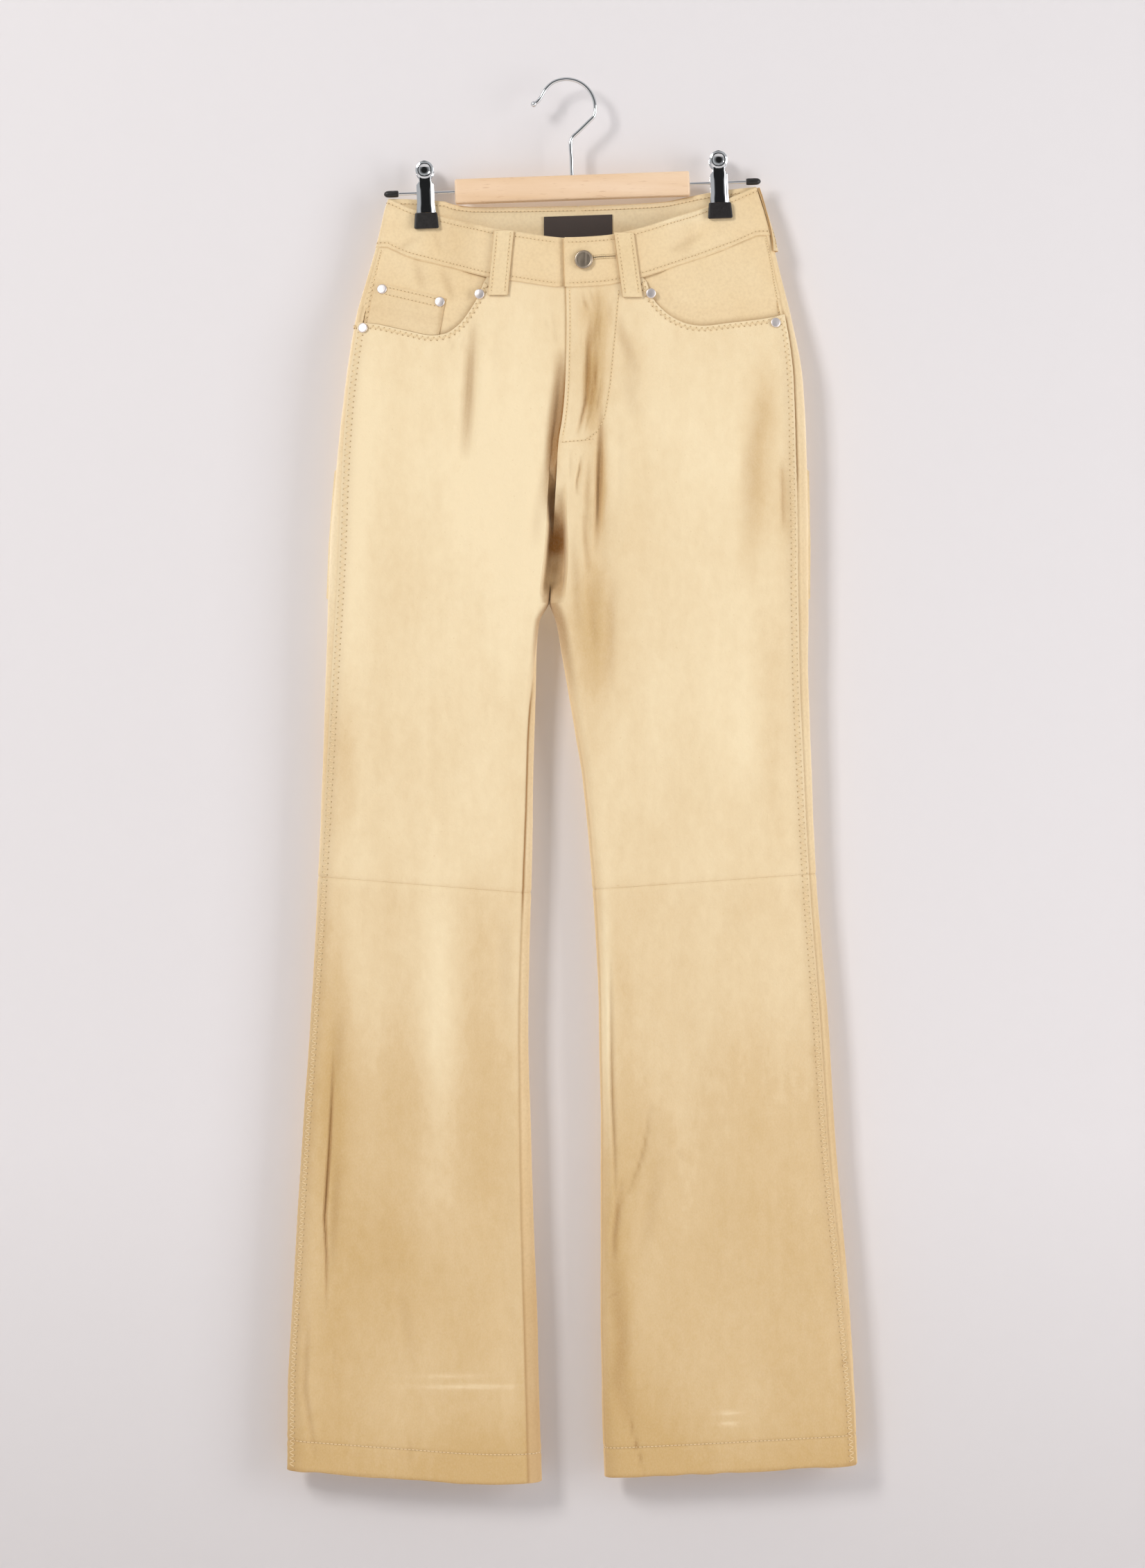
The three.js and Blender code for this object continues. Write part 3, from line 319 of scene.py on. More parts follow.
outer_x = {s: curve(OUTER[s], "x") for s in SIDES}
outer_seam = {s: curve(OUTER[s], "seam") for s in SIDES}
inner_x = {s: curve(INNER[s], "x") for s in SIDES}
inner_seam = {s: curve(INNER[s], "seam") for s in SIDES}
centre_x = {"front": curve(CENTRE, "front"), "back": curve(CENTRE, "back")}
face_depth = {"front": curve(DEPTH, "front"), "back": curve(DEPTH, "back")}
outer_round = curve(DEPTH, "outer_round")
inner_round = {s: curve(INNER_ROUND[s], "wide") for s in SIDES}
edge_z = {"front": curve(FRONT_EDGE, "z"), "back": curve(BACK_EDGE, "z")}
pocket_z = {s: curve(POCKET[s], "z") for s in SIDES}
knee_z = {s: curve(KNEE[s], "z") for s in SIDES}
hem_z = {s: curve(HEM[s], "z") for s in SIDES}


# ---------------------------------------------------------------- the garment's surface
def seat_closure(z):
    """1 where the legs part behind, 0 above: a quarter of an ellipse between."""
    t = np.clip((SEAT_START - z) / (SEAT_START - CROTCH_Z), 0, 1)
    return 1 - np.sqrt(1 - t * t)


def hollow(z):
    """1 in the narrow hollow between the thighs, above where they part; 0 elsewhere."""
    return ramp(-z, 322, 352) * (1 - ramp(-z, 424, -CROTCH_Z))


def pinch(x, z):
    """1 where a clip's jaws hold the waist flat, fading to 0 around and below them."""
    away = np.minimum(np.abs(x - PINCH_X[0]), np.abs(x - PINCH_X[1]))
    return ramp(z, -188, -122) * (1 - ramp(away, 13, 46))


def beside_line(x, z, start, step):
    """For points beside a straight line: how far along it they lie, from 0 to 1, and how far
    away from it."""
    (x0, z0), (dx, dz) = start, step
    t = np.clip(((x - x0) * dx + (z - z0) * dz) / (dx * dx + dz * dz), 0, 1)
    return t, np.hypot(x - x0 - t * dx, z - z0 - t * dz)


def troughs(side, front, x, z):
    """The depth of the creases at a point: for each, a bell across its line, faded at its ends."""
    total = np.zeros(np.shape(x))
    for on_side, face, x0, z0, x1, z1, width, depth in CREASES:
        if on_side == side:
            t, away = beside_line(x, z, (x0, z0), (x1 - x0, z1 - z0))
            fall = np.sqrt(np.sin(math.pi * t)) * bell(away, width)
            total = total + np.where(front == (face == "front"), depth * fall, 0)
    return total


def fine_creases(rows, x, z):
    """The depth of bent creases: each is a groove along its points, deepest at its middle, with a
    low swelling on both sides where the leather is pushed up."""
    total = np.zeros(np.shape(x))
    for width, deep, *numbers in rows:
        points = np.array(numbers, float).reshape(-1, 2)
        run = run_along(points)
        nearest, reached = np.full(np.shape(x), 1e9), np.zeros(np.shape(x))
        for start, step, before, after in zip(points, np.diff(points, axis=0), run, run[1:]):
            t, away = beside_line(x, z, start, step)
            reached = np.where(away < nearest, lerp(before, after, t) / run[-1], reached)
            nearest = np.minimum(nearest, away)
        groove = bell(nearest, width) - 0.22 * bell(nearest - 2.1 * width, width)
        total = total + deep * np.sin(math.pi * reached) ** 0.8 * groove
    return total


def surface(side, turn, z):
    """A point of one side's section at height z, from turn 0 to 6 round the leg: the inner fold or
    centre seam at 0, the front face from 1 to 2, the outer fold at 3, the back face from 4 to 5.
    The folds are quarter arcs, and each face stands out from the middle plane by its depth."""
    turn, z = np.broadcast_arrays(np.asarray(turn, float), np.asarray(z, float))
    turn = np.where(turn > 6, turn - 6, np.where(turn < 0, turn + 6, turn))
    front = turn <= 3
    along = np.where(front, turn, 6 - turn)
    above = z > CROTCH_Z
    centre = np.where(front, centre_x["front"](z), centre_x["back"](z))
    inner = np.where(above, centre, inner_x[side](z))
    width = np.abs(outer_x[side](z) - inner)
    closed = np.where(above, np.where(front, ramp(-z, *HOLLOW[side]), seat_closure(z)), 1)
    steep = np.where(front, hollow(z), 0)
    w_in, w_out = inner_round[side](z), outer_round(z)
    angle_out = np.clip(3 - along, 0, 1) * math.pi / 2
    fold = np.clip(along, 0, 1)
    near = w_in * lerp(fold, 1 - np.cos(fold * math.pi / 2), closed * (1 - steep))
    middle = lerp(w_in, width - w_out, np.clip(along, 1, 2) - 1)
    far = width - w_out * (1 - np.cos(angle_out))
    distance = np.where(along < 1, near, np.where(along > 2, far, middle))
    arc = np.sqrt(np.clip(1 - (1 - near / w_in) ** 2, 0, 1))
    rise = lerp(arc, ramp(near, w_in - HOLLOW_WALL, w_in), steep)
    share = np.where(along < 1, 1 - closed * (1 - rise),
                     np.where(along > 2, np.sin(angle_out), 1))
    x = inner + SIGN[side] * distance

    whole = (x - outer_x["left"](z)) / (outer_x["right"](z) - outer_x["left"](z))
    bow = np.sin(math.pi * np.clip(whole, 0, 1)) ** 0.9
    crown = 0.82 + 0.18 * (1 - (2 * distance / width - 1) ** 2)
    stand = np.where(front, face_depth["front"](z), face_depth["back"](z))
    free = np.maximum(stand * lerp(bow, crown, ramp(-z, 130, 265)), FOLD_DEPTH)
    depth = lerp(free, PINCH_DEPTH, pinch(x, z)) - troughs(side, front, x, z)
    if side == "right":
        inside = 1 - ramp(x - centre_x["front"](z), FLY_WIDTH - 6, FLY_WIDTH)
        lift = FLY_LIFT * inside * ramp(z, FLY_END_Z - 3, FLY_END_Z + 3)
        depth = depth + np.where(front, lift, 0)
    y = np.where(front, -1, 1) * depth * share + HOLLOW_SUNK * steep * (1 - share)
    return np.stack([x, y, z], axis=-1)


def normals(side, turn, z):
    """Unit outward normals: the cross product of small steps round and down the surface."""
    turn, z = np.broadcast_arrays(np.asarray(turn, float), np.asarray(z, float))
    step = 0.01
    above = z > CROTCH_Z
    before = np.where(above & (turn < step), turn, turn - step)
    after = np.where(above & (turn > 6 - step), turn, turn + step)
    near = np.abs(z - CROTCH_Z) < 1
    across = surface(side, after, z) - surface(side, before, z)
    fall = surface(side, turn, np.where(near, z - 1, z - 0.5)) \
        - surface(side, turn, np.where(near, z, z + 0.5))
    return unit(np.cross(across, fall) * -SIGN[side])


def bare(side, turn, z):
    """Points of the garment's surface and their normals."""
    return surface(side, turn, z), normals(side, turn, z)


def outseam(side, z, inset=0.0):
    """The turn where the outseam runs, or where a line runs inset millimetres outside it."""
    return 3 - 2 / math.pi * np.arccos(
        np.clip(1 - (outer_seam[side](z) - inset) / outer_round(z), 0, 1))


def inseam(side, z):
    """The turn where the inseam runs: the centre seam itself above the crotch."""
    share = inner_seam[side](z) / inner_round[side](z)
    return np.where(z > CROTCH_Z, 0, 2 / math.pi * np.arccos(np.clip(1 - share, 0, 1)))


def seam_z(face):
    return lambda x: edge_z[face](x) - BAND_HEIGHT


def front_top(side):
    """The upper edge of a front: the pocket's mouth beside the hip, else the waistband's seam."""
    def top(x):
        seam = seam_z("front")(x)
        beyond = SIGN[side] * (x - POCKET_CORNER[side]) > 0
        return np.where(beyond, np.minimum(pocket_z[side](x), seam), seam)
    return top


def beyond_outseam(side, x, z):
    """How far outside the outseam's line points lie."""
    return SIGN[side] * (x - outer_x[side](z)) + outer_seam[side](z)


def beside_inseam(side, x, z):
    """How far from the inseam's line points lie."""
    return np.abs(x - inner_x[side](z) - SIGN[side] * inner_seam[side](z))


def relief(side, turn, p):
    """Fine form on the leather, along its normal: soft unevenness drawn out downwards, fine
    creases, seams that are pressed in beside a low ridge, and puckers along the sewn outseam."""
    x, z = p[..., 0], p[..., 2]
    front = (turn <= 3) & (turn >= 0)
    seed = 10 if side == "left" else 20
    leg = ramp(-z, 150, 240)
    soft = 0.42 * ripple(x, z / 2.4, 31, seed) + 0.2 * ripple(x + 0.2 * z, z / 1.6, 13, seed + 1)
    height = leg * soft + 0.07 * ripple(x, z / 1.3, 5.5, seed + 2)
    outward = SIGN[side] * (x - centre_x["front"](z))
    flat = ramp(outward, 0.5, 5) if side == "left" else 1
    height = height - np.where(front, fine_creases(FINE_CREASES[side, "front"], x, z) * flat,
                               fine_creases(FINE_CREASES[side, "back"], x, z))
    if side == "right":
        edge = 0.55 * bell(outward - 1.2, 1.1) - 0.6 * bell(outward - FLY_SEWN, 0.8)
        height = height + np.where(front, edge * ramp(z, FLY_END_Z - 4, FLY_END_Z + 2), 0)
    knee = np.abs(z - knee_z[side](x))
    height = height - 0.4 * bell(knee, 0.9) + 0.2 * bell(knee - 5, 2.6)
    hem = np.abs(z - hem_z[side](x) - HEM_HEIGHT)
    height = height - 0.45 * bell(hem, 1.4) + 0.2 * bell(hem - 4, 2)
    below = ramp(-z, 446, 500)
    beside = beside_inseam(side, x, z)
    height = height + below * np.where(front, 0.28 * bell(beside - 5, 3), 0)
    height = height - below * np.where(np.abs(turn - 3) > 1.2, 0.6 * bell(beside, 1.4), 0)
    pucker = 0.3 * np.sin(2 * math.pi * z / PUCKER_GAP + 2.2 * ripple(z, z, 40, 5))
    pucker = pucker * bell(beyond_outseam(side, x, z) + 3, 5)
    return height + np.where(front, pucker * (0.5 + 0.5 * ripple(z, 0 * z, 55, 6)), 0)


def skin(side, turn, z, lift=0.0):
    """Points of the leather's face and their normals: the surface moved out by lift and relief."""
    p, n = bare(side, turn, z)
    height = relief(side, np.broadcast_to(turn, p.shape[:-1]), p) + lift
    return p + n * height[..., None], n


def turn_at(side, x, z, face="front"):
    """The turn where a face reaches x at height z, by halving the range."""
    low, high = (0.0, 3.0) if face == "front" else (3.0, 6.0)
    way = SIGN[side] * (1 if face == "front" else -1)
    x, z = np.broadcast_arrays(np.asarray(x, float), np.asarray(z, float))
    low, high = np.full(x.shape, low), np.full(x.shape, high)
    for _ in range(22):
        middle = (low + high) / 2
        short = way * (surface(side, middle, z)[..., 0] - x) < 0
        low, high = np.where(short, middle, low), np.where(short, high, middle)
    return (low + high) / 2


# ---------------------------------------------------------------- grids on the surface
def ways(counts):
    """For each column: the stop it starts from, and its share of the way to the next stop."""
    start = np.repeat(np.arange(len(counts)), counts)
    share = np.concatenate([np.arange(c) / c for c in counts])
    return np.r_[start, len(counts) - 1], np.r_[share, 1.0]


def between(stops, way):
    """Each column's value between its two stops, for stops that change with height."""
    start, share = way
    grid = np.stack(np.broadcast_arrays(*stops))
    column = np.arange(len(start))
    first, second = grid[start, ..., column], grid[start + 1, ..., column]
    if first.ndim == 2:
        first, second = first.T, second.T
    return lerp(first, second, share)


def panel_grid(side, stops, columns, lines, rows):
    """Turns and heights of a panel's grid. stops(z) gives the turns its columns pass through.
    Rows run between lines, each a height or a height for x, z(x), which is found along a column by
    repeated correction. columns and rows are how many lie from each stop or line to the next."""
    way = ways(columns)
    count = len(way[0])
    levels = []
    for line in lines:
        if callable(line):
            z = line(np.full(count, SIGN[side] * 100.0))
            for _ in range(14):
                turn = between([np.broadcast_to(s, (count,)) for s in stops(z)], way)
                z = lerp(z, line(surface(side, turn, z)[..., 0]), 0.7)
        else:
            z = np.full(count, float(line))
        levels.append(z)
    start, share = ways(rows)
    levels = np.array(levels)
    z = lerp(levels[start], levels[start + 1], share[:, None])
    turn = between([np.broadcast_to(s, z.shape) for s in stops(z)], way)
    return turn, z


# ---------------------------------------------------------------- meshes
def new_mesh(name, points, faces, material, sharp=40):
    """A smooth-shaded mesh from points in millimetres, riding on the one body."""
    mesh = bpy.data.meshes.new(name)
    mesh.from_pydata([], [], [])
    mesh.vertices.add(len(points))
    mesh.vertices.foreach_set("co", (np.asarray(points) * MM).ravel())
    faces = [np.asarray(f) for f in faces]
    sizes = np.concatenate([np.full(len(f), f.shape[1]) for f in faces])
    mesh.loops.add(int(sizes.sum()))
    mesh.loops.foreach_set("vertex_index", np.concatenate([f.ravel() for f in faces]))
    mesh.polygons.add(len(sizes))
    mesh.polygons.foreach_set("loop_start", np.r_[0, np.cumsum(sizes)[:-1]])
    mesh.update(calc_edges=True)
    mesh.validate()
    mesh.polygons.foreach_set("use_smooth", np.ones(len(mesh.polygons), bool))
    mesh.set_sharp_from_angle(angle=math.radians(sharp))
    mesh.materials.append(material)
    piece = placed(name, mesh)
    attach(piece, "root")
    return piece


def grid_quads(rows, columns, start=0, around=False):
    """The quads of a grid of points stored row by row. around joins its last column to its
    first."""
    i, j = np.meshgrid(np.arange(rows - 1), np.arange(columns - (not around)), indexing="ij")
    k = (j + 1) % columns
    quads = np.stack([i * columns + j, i * columns + k, (i + 1) * columns + k,
                      (i + 1) * columns + j], axis=-1)
    return quads.reshape(-1, 4) + start


def shell(name, outer, inner, material, flip, bulge=0.35):
    """A closed thin shell: an outer grid, an inner grid, and between their borders a rim whose
    middle line stands out by bulge times the wall, which rounds the cut edge."""
    rows, columns = outer.shape[:2]
    index = np.arange(rows * columns).reshape(rows, columns)
    border = np.concatenate([index[0, :-1], index[:-1, -1], index[-1, :0:-1], index[:0:-1, 0]])
    inward = np.concatenate([index[1, :-1], index[:-1, -2], index[-2, :0:-1], index[:0:-1, 1]])
    flat_outer, flat_inner = outer.reshape(-1, 3), inner.reshape(-1, 3)
    away = flat_outer[border] - flat_outer[inward]
    away = away / np.maximum(np.linalg.norm(away, axis=1, keepdims=True), 1e-9)
    wall = np.linalg.norm(flat_outer[border] - flat_inner[border], axis=1, keepdims=True)
    middle = (flat_outer[border] + flat_inner[border]) / 2 + away * wall * bulge
    points = np.concatenate([flat_outer, flat_inner, middle])
    quads = grid_quads(rows, columns)
    count, rim = rows * columns, 2 * rows * columns + np.arange(len(border))
    next_rim, next_border = np.roll(rim, -1), np.roll(border, -1)
    faces = [quads[:, ::-1], quads + count,
             np.stack([border, next_border, next_rim, rim], axis=1),
             np.stack([rim, next_rim, next_border + count, border + count], axis=1)]
    if flip:
        faces = [f[:, ::-1] for f in faces]
    return new_mesh(name, points, faces, material)


def pointed_faces(rings, sides):
    """The faces of a stack of rings whose two end points follow the rings."""
    k = np.arange(sides)
    n = (k + 1) % sides
    top, last = (rings - 1) * sides, rings * sides
    return [grid_quads(rings, sides, around=True),
            np.stack([n, k, np.full(sides, last)], axis=1),
            np.stack([top + k, top + n, np.full(sides, last + 1)], axis=1)]


def capped_faces(rings, sides):
    """The faces of a stack of rings with a flat face on each end."""
    k = np.arange(sides)
    return [grid_quads(rings, sides, around=True), k[None, ::-1], (k + (rings - 1) * sides)[None]]


def spokes(sides, across, up):
    """Unit vectors at even angles round a circle, from across towards up."""
    angle = np.arange(sides) * 2 * math.pi / sides
    return np.cos(angle)[:, None] * across + np.sin(angle)[:, None] * up


def tube(path, radius, sides):
    """A round tube along a path: rings in the plane across it, turned as little as possible, and
    a point on each end. Returns points and faces."""
    path = np.asarray(path, float)
    along = unit(np.gradient(path, axis=0))
    across = unit(np.cross(along, (0.0, 1.0, 0.0)))
    ring = spokes(sides, across[:, None], np.cross(across, along)[:, None])
    radius = np.broadcast_to(radius, (len(path),))[:, None, None]
    rings = (path[:, None] + radius * ring).reshape(-1, 3)
    return np.concatenate([rings, path[:1], path[-1:]]), pointed_faces(len(path), sides)


def lathe(profile, sides, centre, axis):
    """A profile of radius and height turned about an axis through centre. Its ends are on the
    axis."""
    profile, axis = np.asarray(profile, float), unit(np.asarray(axis, float))
    side = unit(np.cross(axis, (0.0, 0.0, 1.0) if abs(axis[2]) < 0.9 else (1.0, 0.0, 0.0)))
    body = profile[1:-1]
    rings = body[:, 0, None, None] * spokes(sides, side, np.cross(axis, side)) \
        + body[:, 1, None, None] * axis
    ends = profile[[0, -1], 1][:, None] * axis
    points = np.concatenate([rings.reshape(-1, 3), ends]) + centre
    return points, pointed_faces(len(body), sides)


def smooth_profile(points, steps=4):
    """Rounds a profile's corners: each is replaced by a short parabola between the middles of the
    stretches beside it."""
    p = np.asarray(points, float)
    t = np.arange(steps) / (steps - 1)
    first, corner, second = (p[:-2] + p[1:-1]) / 2, p[1:-1], (p[1:-1] + p[2:]) / 2
    bend = ((1 - t) ** 2)[:, None, None] * first + (2 * t * (1 - t))[:, None, None] * corner \
        + (t ** 2)[:, None, None] * second
    return np.concatenate([p[:1], bend.transpose(1, 0, 2).reshape(-1, 2), p[-1:]])


def merged(*parts):
    """Joins (points, faces) pairs into one."""
    offset, points, faces = 0, [], []
    for p, f in parts:
        points.append(p)
        faces.extend(q + offset for q in f)
        offset += len(p)
    return np.concatenate(points), faces


# ---------------------------------------------------------------- sewing
THREAD = 0.36     # radius
PITCH = 3.3       # from one stitch to the next
ZIGZAG = 4.8      # from one zigzag to the next
STITCH_SIDES = 5
STITCH_REACH = np.array([-0.5, -0.32, 0.0, 0.32, 0.5])       # rings along a stitch,
STITCH_RADIUS = np.array([1.25, 1.05, 1.0, 1.05, 1.25]) * THREAD
STITCH_HOLE_SHADE = (1.0, 0.1, 0.0, 0.1, 1.0)                      # and the painted shade on each, deepest where it dips into its hole
STITCH_SINK = 0.25


def stitched(points, direction, up, length):
    """One short thread at each point: a thin tube along direction whose middle lies on the
    leather and whose ends dip into it. Whole arrays: threads, rings, corners."""
    high = THREAD * 0.55 - (2 * STITCH_REACH) ** 4 * STITCH_SINK
    across = unit(np.cross(up, direction))
    length = np.broadcast_to(length, (len(points),))
    spine = points[:, None] + direction[:, None] * (STITCH_REACH * length[:, None])[..., None] \
        + up[:, None] * high[:, None]
    ring = spokes(STITCH_SIDES, across[:, None], up[:, None])
    rings = spine[:, :, None] + STITCH_RADIUS[:, None, None] * ring[:, None]
    quads, *caps = capped_faces(len(STITCH_REACH), STITCH_SIDES)
    starts = (np.arange(len(points)) * len(STITCH_REACH) * STITCH_SIDES)[:, None, None]
    return rings.reshape(-1, 3), [(quads + starts).reshape(-1, 4),
                                  (np.concatenate(caps) + starts).reshape(-1, STITCH_SIDES)]


def taken(values, run, where):
    """The rows of values, given at the distances run, read between them at other distances."""
    return np.stack([np.interp(where, run, v) for v in values.T], axis=1)


def spaced(line, up, gap):
    """Points, directions and normals at even distances along a line of points."""
    run = run_along(line)
    at = np.arange(gap / 2, run[-1] - gap / 3, gap)
    ahead = taken(line, run, at + 0.4) - taken(line, run, at - 0.4)
    return taken(line, run, at), unit(ahead), unit(taken(up, run, at))


def sewn(name, *rows):
    """A piece of sewing made of rows of threads, with painted shade marked on its threads' dipping
    ends.
    """
    points, faces = merged(*rows)
    piece = new_mesh(name, points, faces, THREADS)
    # painted shade: the threads' ends are darkened where they dip into the needle's holes
    ring = np.repeat(STITCH_HOLE_SHADE, STITCH_SIDES)
    hole_shade = piece.data.attributes.new("hole_shade", "FLOAT", "POINT")
    hole_shade.data.foreach_set("value", np.tile(ring, len(points) // len(ring)))


def row_of_stitches(line, up):
    return stitched(*spaced(line, up, PITCH), PITCH * 0.94)


def zigzag(near, far):
    """Stitches that run to and fro between two lines side by side, each given as its points and
    their normals."""
    run = run_along(near[0])
    at = np.arange(0, run[-1], ZIGZAG / 2)
    corner = np.where((np.arange(len(at)) % 2 == 0)[:, None], taken(near[0], run, at),
                      taken(far[0], run, at))
    step = np.diff(corner, axis=0)
    length = np.linalg.norm(step, axis=1)
    return stitched((corner[1:] + corner[:-1]) / 2, step / length[:, None],
                    unit(taken(near[1], run, at)[:-1]), length * 0.97)


# ---------------------------------------------------------------- materials
def srgb(red, green, blue):
    """A colour given in 0 to 255 as the linear one that shaders take."""
    c = np.array([red, green, blue]) / 255
    return (*np.where(c <= 0.04045, c / 12.92, ((c + 0.055) / 1.055) ** 2.4), 1.0)


class Finish:
    """A material with one Principled shader, and short ways to add nodes to it."""

    def __init__(self, name, color=(0.8, 0.8, 0.8, 1), roughness=0.5, metallic=0.0, **values):
        self.material = bpy.data.materials.new(name)
        self.material.use_nodes = True
        self.tree = self.material.node_tree
        self.shader = self.tree.nodes["Principled BSDF"]
        self.set(**{"Base Color": color, "Roughness": roughness, "Metallic": metallic})
        self.set(**{key.replace("_", " "): value for key, value in values.items()})

    def feed(self, inputs, values):
        """Sets or links inputs by name or number."""
        for key, value in dict(values).items():
            if isinstance(value, bpy.types.NodeSocket):
                self.tree.links.new(value, inputs[key])
            else:
                inputs[key].default_value = value

    def set(self, **values):
        self.feed(self.shader.inputs, values)

    def node(self, kind, inputs=(), out=0, **settings):
        """Adds a node, feeds its inputs, and returns an output."""
        made = self.tree.nodes.new("ShaderNode" + kind)
        for key, value in settings.items():
            setattr(made, key, value)
        self.feed(made.inputs, inputs)
        return made.outputs[out]

    def attribute(self, name):
        return self.node("Attribute", out="Fac", attribute_name=name)

    def place(self, scale=(1, 1, 1)):
        coords = self.node("TexCoord", out="Object")
        return self.node("Mapping", {"Vector": coords, "Scale": scale})

    def noise(self, scale, detail=3, stretch=(1, 1, 1)):
        return self.node("TexNoise", {"Vector": self.place(stretch), "Scale": scale,
                                      "Detail": detail, "Roughness": 0.55})

    def spread(self, value, low, high, to_low=0.0, to_high=1.0):
        return self.node("MapRange", {0: value, 1: low, 2: high, 3: to_low, 4: to_high})

    def cloud(self, amount, *noise):
        """Noise spread from -amount to amount."""
        return self.spread(self.noise(*noise), 0.3, 0.7, -amount, amount)

    def math(self, kind, a, b):
        return self.node("Math", {0: a, 1: b}, operation=kind)

    def mix(self, share, a, b):
        return self.node("Mix", {0: share, 6: a, 7: b}, out=2, data_type="RGBA")

    def bump(self, height, distance, strength=1.0, after=None):
        inputs = {"Height": height, "Distance": distance, "Strength": strength}
        if after is not None:
            inputs["Normal"] = after
        return self.node("Bump", inputs)


GOLDEN = srgb(205, 171, 116)
TAN = srgb(222, 194, 149)
PALE = srgb(242, 222, 183)
SMOOTH_TAN = srgb(226, 195, 146)
SHADE = srgb(152, 106, 52)


def front_leather():
    """Soft brushed leather: pale where it is worn, golden below, with clouds, streaks drawn out
    downwards, mottling, fibre and nap."""
    f = Finish("brushed_tan_leather", roughness=0.88, Specular_IOR_Level=0.22,
               Sheen_Weight=0.1, Sheen_Roughness=0.55)
    cloud = f.cloud(0.11, 9, 4, (1, 1, 0.6))
    streak = f.cloud(0.08, 30, 4, (1, 1, 0.12))
    mottle = f.cloud(0.06, 130, 5, (1, 1, 0.6))
    # fade_and_light carries the patches, among them painted shade and painted light
    tone = f.math("ADD", f.math("ADD", f.attribute("fade_and_light"), cloud), f.math("ADD", streak, mottle))
    deep = f.mix(f.spread(tone, 0.0, 0.5), GOLDEN, TAN)
    color = f.mix(f.spread(tone, 0.45, 1.0), deep, PALE)
    # painted shade: darker towards SHADE in creases, hollows and gaps, as well as where soiled
    color = f.mix(f.attribute("soil"), color, SHADE)
    fibre = f.noise(900, 4, (1, 1, 0.6))
    color = f.mix(f.spread(fibre, 0.35, 0.75, 0.0, 0.1), color, srgb(248, 236, 210))
    speck = f.spread(f.noise(420, 2), 0.7, 0.78, 0.0, 0.3)
    color = f.mix(speck, color, GOLDEN)
    nap = f.bump(fibre, 0.0004, 0.5)
    grain = f.bump(f.noise(240, 4), 0.0009, 0.5, nap)
    f.set(**{"Base Color": color, "Normal": grain,
             "Roughness": f.spread(cloud, -0.11, 0.11, 0.94, 0.8)})
    return f.material


def smooth_leather(name="smooth_tan_leather", color=SMOOTH_TAN, roughness=0.6):
    """Grain side out: fine pores, a faint sheen and soft cloudy tones."""
    f = Finish(name, roughness=roughness, Specular_IOR_Level=0.24)
    cloud = f.cloud(0.2, 13, 4)
    tone = f.math("ADD", f.attribute("fade_and_light"), cloud)
    shade = f.mix(f.spread(tone, 0.2, 1.3), color, PALE)
    # painted shade: darker towards SHADE in creases, hollows and gaps, as well as where soiled
    shade = f.mix(f.attribute("soil"), shade, SHADE)
    pores = f.node("TexVoronoi", {"Vector": f.place(), "Scale": 1100.0})
    shade = f.mix(f.spread(f.noise(420, 3), 0.4, 0.7, 0.0, 0.1), shade, SHADE)
    grain = f.bump(pores, 0.00018, 0.35)
    f.set(**{"Base Color": shade, "Normal": f.bump(f.noise(160, 3), 0.0005, 0.25, grain),
             "Roughness": f.spread(cloud, -0.2, 0.2, roughness + 0.08, roughness - 0.06)})
    return f.material


def thread():
    """Twisted tan thread, with painted shade where it goes down into the needle's holes."""
    f = Finish("tan_thread", roughness=0.7, Sheen_Weight=0.2)
    twist = f.noise(1500, 2)
    color = f.mix(twist, srgb(226, 198, 148), srgb(246, 226, 186))
    # painted shade at the threads' dipping ends
    f.set(**{"Base Color": f.mix(f.attribute("hole_shade"), color, srgb(158, 124, 76)),
             "Normal": f.bump(twist, 0.0002, 0.5)})
    return f.material


def woven_label():
    """Dark woven tape: fine crossed threads in colour and height."""
    f = Finish("dark_woven_tape", roughness=0.8, Sheen_Weight=0.1)
    warp = f.node("TexWave", {"Vector": f.place(), "Scale": 520.0}, bands_direction="X")
    weft = f.node("TexWave", {"Vector": f.place(), "Scale": 640.0}, bands_direction="Z")
    weave = f.math("MULTIPLY", warp, weft)
    f.set(**{"Base Color": f.mix(weave, srgb(56, 47, 43), srgb(92, 80, 74)),
             "Normal": f.bump(weave, 0.0002, 0.5)})
    return f.material


def brushed_nickel():
    f = Finish("brushed_nickel", metallic=1.0, roughness=0.42)
    lines = f.noise(700, 3, (1, 1, 0.06))
    f.set(**{"Base Color": f.mix(lines, srgb(172, 156, 136), srgb(194, 180, 162)),
             "Roughness": f.spread(lines, 0.3, 0.7, 0.34, 0.44)})
    return f.material


def bright_metal(name, color, roughness):
    """Plated metal with a faintly uneven polish."""
    f = Finish(name, color=color, metallic=1.0, roughness=roughness)
    f.set(Roughness=f.spread(f.noise(90, 4), 0.3, 0.75, roughness, roughness + 0.07))
    return f.material


def black_rubber():
    f = Finish("black_rubber", color=srgb(30, 27, 26), roughness=0.42)
    grain = f.noise(600, 3)
    f.set(**{"Roughness": f.spread(grain, 0.3, 0.7, 0.34, 0.5),
             "Normal": f.bump(grain, 0.00012, 0.3)})
    return f.material


def beech():
    """Light beech under satin varnish: long soft figure and the short dark flecks of its rays."""
    f = Finish("satin_beech", roughness=0.4, Coat_Weight=0.12, Coat_Roughness=0.3)
    figure = f.noise(60, 5, (0.09, 1, 1))
    color = f.mix(f.spread(figure, 0.3, 0.7), srgb(230, 194, 154), srgb(245, 217, 187))
    flecks = f.spread(f.noise(700, 2, (0.12, 1, 1)), 0.62, 0.72)
    color = f.mix(f.math("MULTIPLY", flecks, 0.4), color, srgb(200, 154, 112))
    f.set(**{"Base Color": color, "Normal": f.bump(flecks, 0.00008, 0.3)})
    return f.material


